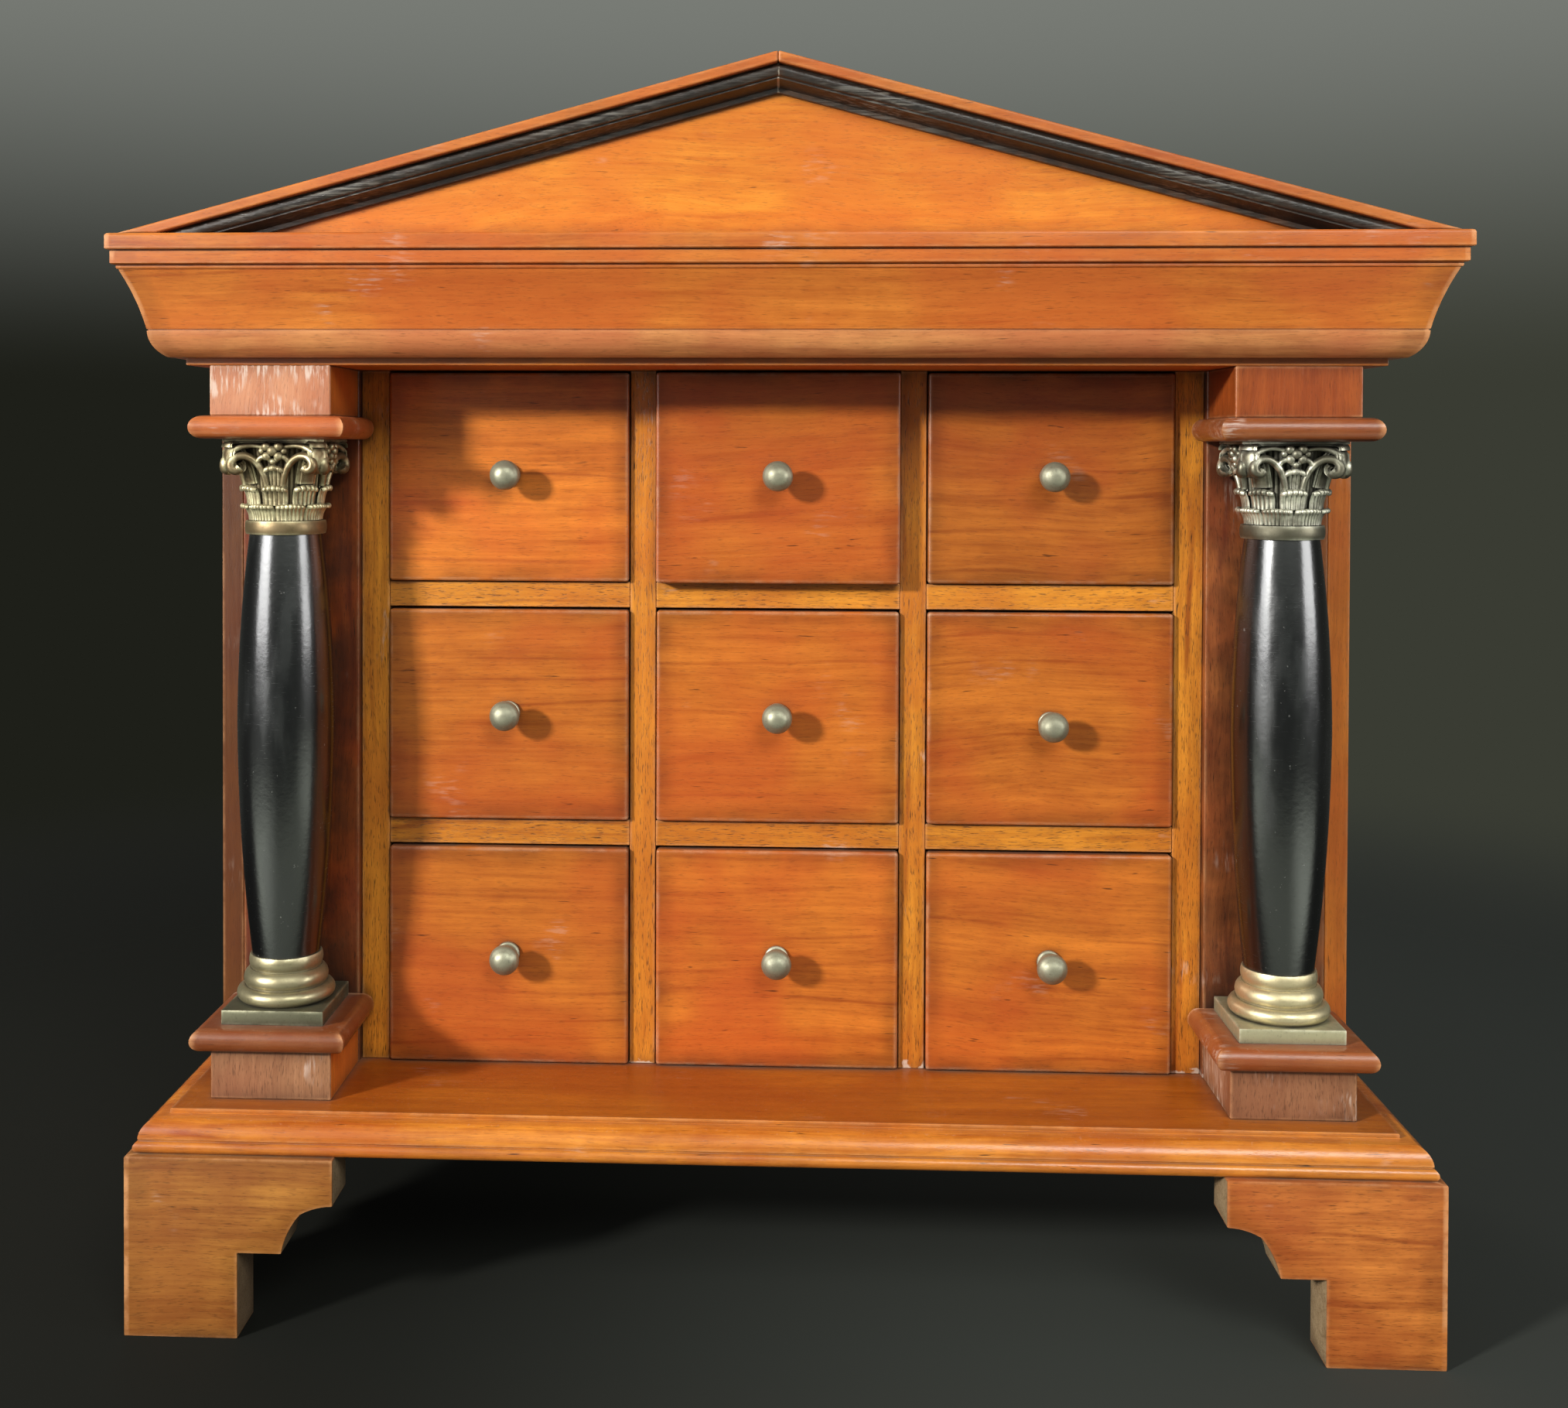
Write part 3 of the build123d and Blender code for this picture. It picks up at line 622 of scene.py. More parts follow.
# Top face of the base board: darker than its moulded edge as painted shade.
PAINTED_SHADE_BASE_TOP_WOOD = WoodFinish("base_top_wood", tone(190, 108, 28), tone(142, 70, 16), tone(150, 68, 18),
                           roughness=0.36, wander=0.012, gloss=0.25, dust=0.15, scuffs=0.15)
FOOT_WOOD = WoodFinish("foot_wood", tone(222, 136, 60), tone(130, 60, 22), tone(144, 66, 30),
                       roughness=0.45, wander=0.012, gloss=0.25, pores=0.4, flecks=0.9, grime_and_shade=0.8,
                       scuffs=0.35)
FADED_FOOT_WOOD = replace(FOOT_WOOD, name="faded_foot_wood", light=tone(222, 152, 68), dark=tone(128, 66, 26),
                          red=tone(148, 82, 38))
SAWN_WOOD = WoodFinish("sawn_wood", tone(184, 158, 122), tone(136, 110, 78), tone(132, 102, 74),
                       roughness=0.75, gloss=0.15, coarseness=2.2, pores=0.6, relief=0.5, rub=0.3)
# Pale wood with many pale scuffs, partly a painted sheen on the block.
PALE_SHEEN_BLOCK_WOOD = WoodFinish("pale_block_wood", tone(214, 156, 118), tone(178, 107, 68), tone(178, 99, 65),
                             roughness=0.42, gloss=0.3, scuffs=0.8, scuff_level=0.44, coarseness=1.8,
                             grime_and_shade=0.8, growth=0.0)
PINK_BLOCK_WOOD = WoodFinish("pink_block_wood", tone(182, 132, 94), tone(124, 81, 55), tone(136, 81, 55),
                             roughness=0.42, gloss=0.3, coarseness=1.8, grime_and_shade=0.85, growth=0.0, pores=0.5,
                             scuffs=0.6, scuff_level=0.5)
BLOCK_WOOD = WoodFinish("block_wood", tone(178, 90, 34), tone(126, 54, 18), tone(130, 52, 22),
                        roughness=0.36, coarseness=1.8, grime_and_shade=0.85, scuffs=0.4, growth=0.0)
# Lighter wood as painted light on block faces that lie in shade.
PAINTED_LIGHT_INNER_WOOD = WoodFinish("inner_wood", tone(250, 158, 62), tone(196, 106, 36), tone(210, 108, 44),
                        roughness=0.4, gloss=0.3, coarseness=1.8, grime_and_shade=0.8, growth=0.2)
CAP_WOOD = WoodFinish("cap_wood", tone(224, 132, 70), tone(178, 88, 40), tone(176, 80, 42),
                      roughness=0.3, wander=0.01, gloss=0.45, rub=0.85, rub_width=3.0 * MM, dust=0.3,
                      scuffs=0.6, scuff_level=0.55, growth=0.1)
PILASTER_WOOD = WoodFinish("pilaster_wood", tone(214, 108, 38), tone(120, 50, 16), tone(132, 40, 18),
                           roughness=0.32, gloss=0.35, pores=0.5, flecks=0.9, grime_and_shade=1.0,
                           grime_and_shade_width=20.0 * MM, filler=0.3, margin=0.6, scuffs=0.3)
# Right pilaster: greyer with dust, and lighter as painted light where the column's shadow falls on it.
DUSTY_PAINTED_LIGHT_PILASTER_WOOD = replace(PILASTER_WOOD, name="dusty_pilaster_wood", light=tone(228, 136, 70),
                              dark=tone(132, 66, 34), red=tone(144, 54, 34))
SIDE_WOOD = WoodFinish("side_wood", tone(238, 140, 50), tone(186, 98, 30), tone(198, 92, 34),
                       roughness=0.38, wander=0.012, filler=0.3)
OCHRE_WOOD = WoodFinish("ochre_wood", tone(250, 164, 50), tone(156, 82, 20), tone(194, 104, 30),
                        dirt=tone(44, 24, 8), roughness=0.45, wander=0.012, gloss=0.25, coarseness=0.9,
                        pores=0.7, flecks=1.0, grime_and_shade=0.85, grime_and_shade_width=7.0 * MM, relief=0.3, scuffs=0.5,
                        filler=0.5, margin=0.15)
ROOF_WOOD = WoodFinish("roof_wood", tone(226, 136, 60), tone(178, 92, 36), tone(188, 88, 42),
                       roughness=0.42, gloss=0.25, dust=0.3)
LINING_WOOD = WoodFinish("lining_wood", tone(222, 186, 134), tone(188, 146, 96), tone(190, 140, 94),
                         roughness=0.6, gloss=0.15, rub=0.2, grime_and_shade=0.5)
BACK_WOOD = WoodFinish("back_wood", tone(186, 130, 82), tone(148, 96, 56), tone(150, 90, 56),
                       roughness=0.6, gloss=0.15, rub=0.25, grime_and_shade=0.6)
DRAWER_WOOD = WoodFinish("drawer_wood", tone(226, 131, 45), tone(162, 79, 24), tone(187, 78, 31),
                         rub_and_highlight_colour=tone(248, 208, 170), roughness=0.34, rub=0.9, grime_and_shade=0.9,
                         grime_and_shade_width=10.0 * MM, scuffs=0.15, flecks=0.75, growth=0.34, margin=0.5)
LEFT_BRASS = BrassFinish("left_cast_brass", tone(226, 218, 176), tone(124, 106, 76), hollow=tone(58, 48, 32),
                         roughness=0.4, tarnish=0.55, metal=0.75)
RIGHT_BRASS = BrassFinish("right_cast_brass", tone(216, 214, 194), tone(98, 94, 78), hollow=tone(34, 32, 26),
                          roughness=0.38, tarnish=0.55, metal=0.8)
BASE_BRASS = BrassFinish("base_brass", tone(228, 220, 186), tone(158, 148, 116),
                         hollow=tone(54, 46, 32), hollow_width=2.2 * MM, metal=0.75)
PLINTH_BRASS = BrassFinish("plinth_brass", tone(208, 204, 172), tone(106, 104, 84), roughness=0.42,
                           hollow=tone(46, 42, 30), hollow_width=3.0 * MM, metal=0.8)
# Lighter copies for the right base and plinth, as painted highlights.
BASE_BRASS_PAINTED_HIGHLIGHT = replace(BASE_BRASS, name="worn_base_brass", bright=tone(250, 240, 208),
                          dull=tone(204, 190, 150))
PLINTH_BRASS_PAINTED_HIGHLIGHT = replace(PLINTH_BRASS, name="worn_plinth_brass", bright=tone(244, 240, 212),
                            dull=tone(178, 172, 138), metal=0.6)
KNOB_BRASS = BrassFinish("knob_brass", tone(214, 212, 190), tone(150, 148, 126), hollow=tone(58, 54, 42),
                         roughness=0.42, tarnish=0.6, rub_width=2.0 * MM, metal=0.65)


def add_object(name: str, data: bpy.types.ID) -> Piece:
    """Link a mesh, lamp or camera to the scene as an object at the origin.

    Args:
        name: Name of the object.
        data: Its mesh, lamp or camera.

    Returns:
        The object.
    """
    made = bpy.data.objects.new(name, data)
    bpy.context.scene.collection.objects.link(made)
    return made


def piece_of(name: str, form: Form, sharp: float = 32.0) -> Piece:
    """Turn a bmesh into a smooth-shaded object with creases sharper than an angle in degrees.

    Args:
        name: Name of the object and its mesh.
        form: The bmesh, which is freed.
        sharp: Creases above this angle, in degrees, stay sharp.

    Returns:
        The object.
    """
    mesh = bpy.data.meshes.new(name)
    form.to_mesh(mesh)
    form.free()
    mesh.shade_smooth()
    mesh.set_sharp_from_angle(angle=math.radians(sharp))
    return add_object(name, mesh)


def mend(form: Form) -> Form:
    """Merge a bmesh's doubled points and turn its faces outwards.

    Args:
        form: The bmesh.

    Returns:
        The same bmesh.
    """
    bmesh.ops.remove_doubles(form, verts=form.verts[:], dist=SAME_PLACE)
    bmesh.ops.recalc_face_normals(form, faces=form.faces[:])
    return form


def settle(piece: Piece) -> Piece:
    """Apply a piece's modifiers to its mesh.

    Args:
        piece: The object.

    Returns:
        The same object, without modifiers.
    """
    graph = bpy.context.evaluated_depsgraph_get()
    mesh = bpy.data.meshes.new_from_object(piece.evaluated_get(graph), depsgraph=graph)
    piece.modifiers.clear()
    old = piece.data
    piece.data = mesh
    bpy.data.meshes.remove(old)
    return piece


def soften(piece: Piece, width: float, segments: int = 2, angle: float = 40.0) -> Piece:
    """Round a piece's arrises over, with the flats left flat.

    Args:
        piece: The object.
        width: How far the rounding reaches from the edge.
        segments: Faces across the rounding.
        angle: Edges above this angle, in degrees, are rounded.

    Returns:
        The same object.
    """
    bevel = piece.modifiers.new("arris", "BEVEL")
    bevel.width = width
    bevel.segments = segments
    bevel.limit_method = "ANGLE"
    bevel.angle_limit = math.radians(angle)
    bevel.harden_normals = True
    return settle(piece)


def part_faces(piece: Piece, material: Material, picked: Callable[[bpy.types.MeshPolygon], bool]) -> None:
    """Give some faces of a dressed piece their own finish.

    Args:
        piece: The dressed object.
        material: Finish of those faces.
        picked: Tells whether a face is one of them.
    """
    piece.data.materials.append(material)
    for face in piece.data.polygons:
        if picked(face):
            face.material_index = 1


def dress(piece: Piece, material: Material, slot: str, node: str, body: str = BODY) -> Piece:
    """Give a piece its finish and its body, and hide the CAD node that it stands for.

    Args:
        piece: The finished object.
        material: Its material.
        slot: Slot of the record that the finish belongs to; not used.
        node: CAD node that it replaces.
        body: Body that it rides on.

    Returns:
        The same object.
    """
    if piece.data.materials:
        piece.data.materials.clear()
    piece.data.materials.append(material)
    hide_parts(node)
    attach(piece, body)
    LOG.info("piece %s on %s", piece.name, body)
    return piece


def cad_form(node: str) -> Form:
    """Mesh of a CAD node with its doubled points merged.

    Args:
        node: Name of the node.

    Returns:
        The merged bmesh.
    """
    form = bmesh.new()
    form.from_mesh(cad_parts[node].data)
    bmesh.ops.remove_doubles(form, verts=form.verts[:], dist=CAD_SAME_PLACE)
    return form


def merged_copy(node: str, name: str) -> Piece:
    """Copy of a CAD node with its triangles merged back into whole faces.

    Args:
        node: Name of the node.
        name: Name of the copy.

    Returns:
        The copy.
    """
    form = cad_form(node)
    bmesh.ops.dissolve_limit(form, angle_limit=math.radians(1.0), verts=form.verts[:], edges=form.edges[:])
    return piece_of(name, form)


def split_loose(node: str) -> list[tuple[Vector, Vector]]:
    """Lowest and highest corner of each loose solid of a CAD node.

    Args:
        node: Name of the node.

    Returns:
        Both corners of each solid, the lowest solid first.
    """
    form = cad_form(node)
    left = set(form.verts)
    boxes = []
    while left:
        island, fringe = [], [left.pop()]
        while fringe:
            vertex = fringe.pop()
            island.append(vertex.co)
            found = {edge.other_vert(vertex) for edge in vertex.link_edges} & left
            left -= found
            fringe += found
        boxes.append(tuple(Vector([pick(place[axis] for place in island) for axis in range(3)])
                           for pick in (min, max)))
    form.free()
    return sorted(boxes, key=lambda box: (round(box[0].z, 4), round(box[0].x, 4), round(box[0].y, 4)))


def foot_centre(node: str) -> Point:
    """Middle of the underside of a CAD node's box."""
    low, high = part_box(node)
    return (low.x + high.x) / 2, (low.y + high.y) / 2, low.z


def round_edges(form: Form, edges: Sequence[bmesh.types.BMEdge], width: float) -> None:
    """Round edges of a bmesh over."""
    bmesh.ops.bevel(form, geom=edges, offset=width, segments=2, profile=0.6, affect="EDGES",
                    clamp_overlap=True)


def box_form(form: Form, low: Sequence[float], high: Sequence[float]) -> None:
    """Add a box between two corners to a bmesh.

    Args:
        form: Where the box goes.
        low: Lowest corner.
        high: Highest corner.
    """
    size = Vector(high) - Vector(low)
    place = Matrix.Translation((Vector(high) + Vector(low)) / 2) @ Matrix.Diagonal((*size, 1.0))
    bmesh.ops.create_cube(form, size=1.0, matrix=place)


def board(name: str, low: Sequence[float], high: Sequence[float], arris: float) -> Piece:
    """Board with rounded arrises between two corners.

    Args:
        name: Name of the object.
        low: Lowest corner.
        high: Highest corner.
        arris: Width of the rounding.

    Returns:
        The board.
    """
    form = bmesh.new()
    box_form(form, low, high)
    return soften(piece_of(name, form), arris, 3)


def arc(start: Pair, middle: Pair, end: Pair, steps: int = 10) -> list[Pair]:
    """Points along the circle through three points, both ends included.

    Args:
        start: First point.
        middle: Any point between.
        end: Last point.
        steps: Lengths that the arc is cut into.

    Returns:
        The points from start to end.
    """
    (ax, ay), (bx, by), (cx, cy) = start, middle, end
    squares = [x * x + y * y for x, y in (start, middle, end)]
    double = 2 * (ax * (by - cy) + bx * (cy - ay) + cx * (ay - by))
    ux = (squares[0] * (by - cy) + squares[1] * (cy - ay) + squares[2] * (ay - by)) / double
    uy = (squares[0] * (cx - bx) + squares[1] * (ax - cx) + squares[2] * (bx - ax)) / double
    radius = math.hypot(ax - ux, ay - uy)
    first, mid, last = (math.atan2(y - uy, x - ux) for x, y in (start, middle, end))
    sweep = (last - first) % math.tau
    if (mid - first) % math.tau > sweep:
        sweep -= math.tau
    turns = [first + sweep * step / steps for step in range(steps + 1)]
    return [(ux + radius * math.cos(turn), uy + radius * math.sin(turn)) for turn in turns]


def loft(form: Form, rings: Sequence[Sequence[Point]], closed: bool = True,
         capped: bool = True) -> list[list[bmesh.types.BMVert]]:
    """Join rings of points with faces.

    Args:
        form: Where the faces go.
        rings: Rings with the same number of points each.
        closed: Whether each ring joins up with itself.
        capped: Whether the first and last ring are filled.

    Returns:
        The bmesh's points, ring by ring.
    """
    rows = [[form.verts.new(point) for point in ring] for ring in rings]
    count = len(rings[0])
    for lower, upper in zip(rows, rows[1:]):
        for index in range(count if closed else count - 1):
            after = (index + 1) % count
            form.faces.new((lower[index], lower[after], upper[after], upper[index]))
    if capped:
        form.faces.new(rows[0][::-1])
        form.faces.new(rows[-1])
    return rows


def lofted(name: str, rings: Sequence[Sequence[Point]], sharp: float) -> Piece:
    """Object of one closed loft.

    Args:
        name: Name of the object.
        rings: Rings with the same number of points each.
        sharp: Creases above this angle, in degrees, stay sharp.

    Returns:
        The object.
    """
    form = bmesh.new()
    loft(form, rings)
    return piece_of(name, mend(form), sharp)


def turned(form: Form, profile: Sequence[Pair], centre: Point, forward: bool = False,
           steps: int = 96) -> None:
    """Turn a profile of (radius, height) points round an axis.

    Args:
        form: Where the faces go.
        profile: Points from one end to the other; the ends may lie on the axis.
        centre: Where radius and height are nought.
        forward: Whether the turning points to the front; it stands upright otherwise.
        steps: Faces round the turning.
    """
    rings = []
    for radius, height in profile:
        reach = max(radius, LEAST_RADIUS)
        ring = []
        for step in range(steps):
            angle = math.tau * step / steps
            across, other = reach * math.cos(angle), reach * math.sin(angle)
            local = (across, -height, other) if forward else (across, other, height)
            ring.append(tuple(base + part for base, part in zip(centre, local)))
        rings.append(ring)
    loft(form, rings)


def tube(form: Form, path: Sequence[Vector], radii: Sequence[float], sides: int, flatten: float,
         normal: Vector, ribs: float = 0.0) -> None:
    """Flattened tube along a path, with closed ends.

    Args:
        form: Where the faces go.
        path: Points of the middle line.
        radii: Radius at each point.
        sides: Faces round the tube.
        flatten: Half width of the section along the normal, as a share of the radius.
        normal: Direction of that width at the start.
        ribs: Depth of the ribs along the tube, as a share of the radius.
    """
    rings = []
    for index, place in enumerate(path):
        ahead = path[min(index + 1, len(path) - 1)] - path[max(index - 1, 0)]
        ahead.normalize()
        normal = (normal - ahead * normal.dot(ahead)).normalized()
        across = ahead.cross(normal)
        ring = []
        for step in range(sides):
            angle = math.tau * step / sides
            radius = radii[index] * (1 + ribs * math.cos(angle * sides / 2))
            ring.append(tuple(place + normal * radius * flatten * math.cos(angle)
                              + across * radius * math.sin(angle)))
        rings.append(ring)
    loft(form, rings)


def smooth_path(points: Sequence[Point], steps: int) -> list[Vector]:
    """Points of a smooth curve through the given ones.

    Args:
        points: Points that the curve goes through.
        steps: Lengths between two of them.

    Returns:
        The points of the curve, both ends included.
    """
    places = [Vector(point) for point in points]
    path = []
    for index in range(len(places) - 1):
        before = places[max(index - 1, 0)]
        start, end = places[index], places[index + 1]
        after = places[min(index + 2, len(places) - 1)]
        bow = 2 * before - 5 * start + 4 * end - after
        twist = 3 * start - before - 3 * end + after
        for step in range(steps):
            t = step / steps
            path.append(0.5 * ((2 * start) + (end - before) * t + bow * t ** 2 + twist * t ** 3))
    return path + [places[-1]]


def three_sided(name: str, profile: Sequence[Pair], plan: tuple[float, float, float, float], foot: float,
                sharp: float) -> Piece:
    """Board whose front and ends carry a profile, mitred at the corners and cut square behind.

    Args:
        name: Name of the object.
        profile: Points of (outwards, up), from the top face to the underside.
        plan: Left, right, front and back where the profile's outwards is nought.
        foot: Height of its underside.
        sharp: Creases above this angle stay sharp.

    Returns:
        The board.
    """
    left, right, front, back = plan
    rings = [[(x + side * out, front - out if turn else back, foot + up) for out, up in profile]
             for side, x, turn in ((-1, left, False), (-1, left, True), (1, right, True), (1, right, False))]
    form = bmesh.new()
    rows = loft(form, rings, closed=False, capped=False)
    form.faces.new([row[0] for row in rows])
    form.faces.new([row[-1] for row in rows][::-1])
    form.faces.new(rows[0][::-1] + rows[3])
    return piece_of(name, mend(form), sharp)


@dataclass
class CaseBoards:
    """Sides, pilasters, partitions, dividers, shelves, back, top board."""

    arris: float = 0.5 * MM
    painted_light_shares: Pair = (0.2, 1.22)
    side_seed: float = 11.0
    pilaster_seed: float = 15.0

    def build(self) -> None:
        """Build and dress the case's boards."""
        for (name, side), share in zip(SIDES, self.painted_light_shares):
            node = f"case_side_{name}"
            piece = board(f"side_board_{name}", *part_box(node), self.arris)
            seed = self.side_seed + side
            dress(piece, SIDE_WOOD.material(Grain.UPRIGHT, seed), "mahogany", node)
            # Front edges: a darker copy on the left as painted shade, a lighter one on the right as painted
            # light where the column's shadow falls.
            edge_wood = SIDE_WOOD.shaded(f"side_edge_wood_{name}", share).material(Grain.UPRIGHT, seed)
            part_faces(piece, edge_wood, lambda face: face.normal.y < -0.5)
            node = f"pilaster_{name}"
            # The right pilaster's wood is lighter as painted light.
            wood = PILASTER_WOOD if side < 0 else DUSTY_PAINTED_LIGHT_PILASTER_WOOD
            piece = board(f"pilaster_panel_{name}", *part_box(node), self.arris)
            dress(piece, wood.material(Grain.UPRIGHT, self.pilaster_seed + side), "pilaster_wood", node)
        for node, grain, seed in (("end_partitions", Grain.UPRIGHT, 20.0), ("dividers", Grain.UPRIGHT, 22.0),
                                  ("shelves", Grain.ACROSS, 24.0)):
            form = bmesh.new()
            for low, high in split_loose(node):
                box_form(form, low, high)
            piece = soften(piece_of(f"{node}_set", form), self.arris)
            dress(piece, OCHRE_WOOD.material(grain, seed), "ochre_wood", node)
        for node, slot, wood, seed in (("back_panel", "back_wood", BACK_WOOD, 31.0),
                                       ("top_board", "mahogany", SIDE_WOOD, 32.0),
                                       ("back_gable", "back_wood", BACK_WOOD, 33.0)):
            piece = soften(merged_copy(node, f"{node}_board"), self.arris)
            dress(piece, wood.material(Grain.ACROSS, seed), slot, node)


@dataclass
class BaseBoard:
    """Base board with its worked edge on the front and both ends."""

    step_drop: float = 1.8 * MM
    step_tread: float = 2.5 * MM
    ovolo_width: float = 7.5 * MM
    ovolo_drop: float = 7.2 * MM
    quirk: float = 0.8 * MM
    bead_reach: float = 11.6 * MM
    ease: float = 0.3 * MM
    lap: float = 1.0 * MM
    crease: float = 28.0
    seed: float = 3.0

    def profile(self, thickness: float) -> list[Pair]:
        """Points of the worked edge from the top arris to the underside: (outwards, up).

        Args:
            thickness: Thickness of the board.

        Returns:
            The points.
        """
        step = thickness - self.step_drop
        end = self.step_tread + self.ovolo_width
        foot = step - self.ovolo_drop
        bead = foot - self.quirk
        shoulder = (self.step_tread + 0.72 * self.ovolo_width, step - 0.3 * self.ovolo_drop)
        return [(-self.lap, thickness), (-self.ease, thickness), (0.0, thickness - self.ease),
                (0.0, step + 0.2 * MM), (self.ease, step),
                *arc((self.step_tread, step), shoulder, (end, foot), 14),
                (end - 0.5 * MM, foot - 0.1 * MM), (end - 0.5 * MM, bead + 0.1 * MM),
                *arc((end, bead), (self.bead_reach, bead / 2), (end, 0.0), 12)]

    def build(self) -> None:
        """Build and dress the base board."""
        low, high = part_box("base_board")
        half = high.x - self.bead_reach
        piece = three_sided("base_board_moulded", self.profile(high.z - low.z),
                            (-half, half, low.y + self.bead_reach, high.y), low.z, self.crease)
        dress(piece, BASE_WOOD.material(Grain.ACROSS, self.seed), "mahogany", "base_board")
        # Darker wood on the top face as painted shade.
        part_faces(piece, PAINTED_SHADE_BASE_TOP_WOOD.material(Grain.ACROSS, self.seed), lambda face: (
            face.normal.z > 0.9 and face.center.z > high.z - self.step_drop / 2))


@dataclass
class Feet:
    """Bracket feet: mitred face and return in front, return and block behind; their sawn edges are bare."""

    thickness: float = 22.0 * MM
    leg_width: float = 46.0 * MM
    leg_height: float = 34.5 * MM
    step: float = 63.8 * MM
    cusp: Pair = (71.5 * MM, 50.5 * MM)
    nose: float = 54.0 * MM
    nose_sag: float = 0.9 * MM
    arris: float = 0.6 * MM
    crease: float = 35.0
    shade: float = 0.15
    seeds: Point = (40.0, 45.0, 47.0)

    def outline(self, length: float, height: float) -> list[Pair]:
        """Points of (inwards, up) of a bracket, from the floor's outer corner round.

        Args:
            length: Length of the bracket.
            height: Height under the base board.

        Returns:
            The points.
        """
        hollow = (self.step + 0.32 * (self.cusp[0] - self.step), (self.cusp[1] + self.leg_height) / 2)
        sag = ((length + self.cusp[0]) / 2, self.nose - self.nose_sag)
        return [(0.0, 0.0), (self.leg_width, 0.0), (self.leg_width, self.leg_height),
                *arc((self.step, self.leg_height), hollow, self.cusp, 10),
                *arc(self.cusp, sag, (length, self.nose), 6)[1:], (length, height), (0.0, height)]

    def bracket(self, name: str, outline: Sequence[Pair], place: Callable[[float, float, float], Point],
                mitred: bool) -> Piece:
        """Build one bracket board.

        Args:
            name: Name of the object.
            outline: Points of (inwards, up).
            place: Gives the place of (inwards, up, depth from the outer face).
            mitred: Whether the outer end is mitred.

        Returns:
            The board, with its sawn edges on the second material slot.
        """
        form = bmesh.new()
        loft(form, [[place(inwards, up, 0.0) for inwards, up in outline],
                    [place(max(inwards, self.thickness) if mitred else inwards, up, self.thickness)
                     for inwards, up in outline]])
        mend(form)
        form.faces.ensure_lookup_table()
        for face in form.faces[1:len(outline) - 2]:
            face.material_index = 1

        def on_mitre(vertex: bmesh.types.BMVert) -> bool:
            """Whether a point lies on the mitre's edges."""
            corners = [Vector(place(depth, vertex.co.z, depth)) for depth in (0.0, self.thickness)]
            return mitred and any((vertex.co - corner).length < CAD_SAME_PLACE for corner in corners)

        arrises = [edge for edge in form.edges if edge.calc_face_angle(0.0) > math.radians(self.crease)
                   and not all(on_mitre(vertex) for vertex in edge.verts)]
        round_edges(form, arrises, self.arris)
        return piece_of(name, form, self.crease)

    def build(self) -> None:
        """Build and dress the four feet."""
        for name, side in SIDES:
            wood = FADED_FOOT_WOOD if side < 0 else FOOT_WOOD
            wood = wood.shaded(f"foot_wood_{name}", 1.0 + self.shade * side)
            face_wood = wood.material(Grain.ACROSS, self.seeds[0] + 2.3 * side)
            return_wood = wood.material(Grain.DEEP, self.seeds[1] + side)
            sawn_wood = SAWN_WOOD.material(Grain.ACROSS, self.seeds[2] + side)
            for row, lead in (("front", -1), ("back", 1)):
                node = f"foot_{row}_{name}"
                low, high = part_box(node)
                corner = low.x if side < 0 else high.x
                edge = low.y if row == "front" else high.y
                outline = self.outline(high.x - low.x if row == "front" else high.y - low.y, high.z)
                pieces = [(self.bracket(f"foot_return_{row}_{name}", outline, lambda inwards, up, depth: (
                    corner - side * depth, edge - lead * inwards, up), row == "front"), return_wood)]
                if row == "front":
                    pieces.append((self.bracket(f"foot_face_{name}", outline, lambda inwards, up, depth: (
                        corner - side * inwards, edge + depth, up), True), face_wood))
                else:
                    inner = sorted((corner - side * self.thickness, corner - side * self.leg_width))
                    pieces.append((board(f"foot_block_{name}", (inner[0], edge - self.thickness, 0.0),
                                         (inner[1], edge, high.z), self.arris), face_wood))
                for piece, finish in pieces:
                    dress(piece, finish, "foot_wood", node)
                    if len(piece.data.materials) == 1:
                        piece.data.materials.append(sawn_wood)


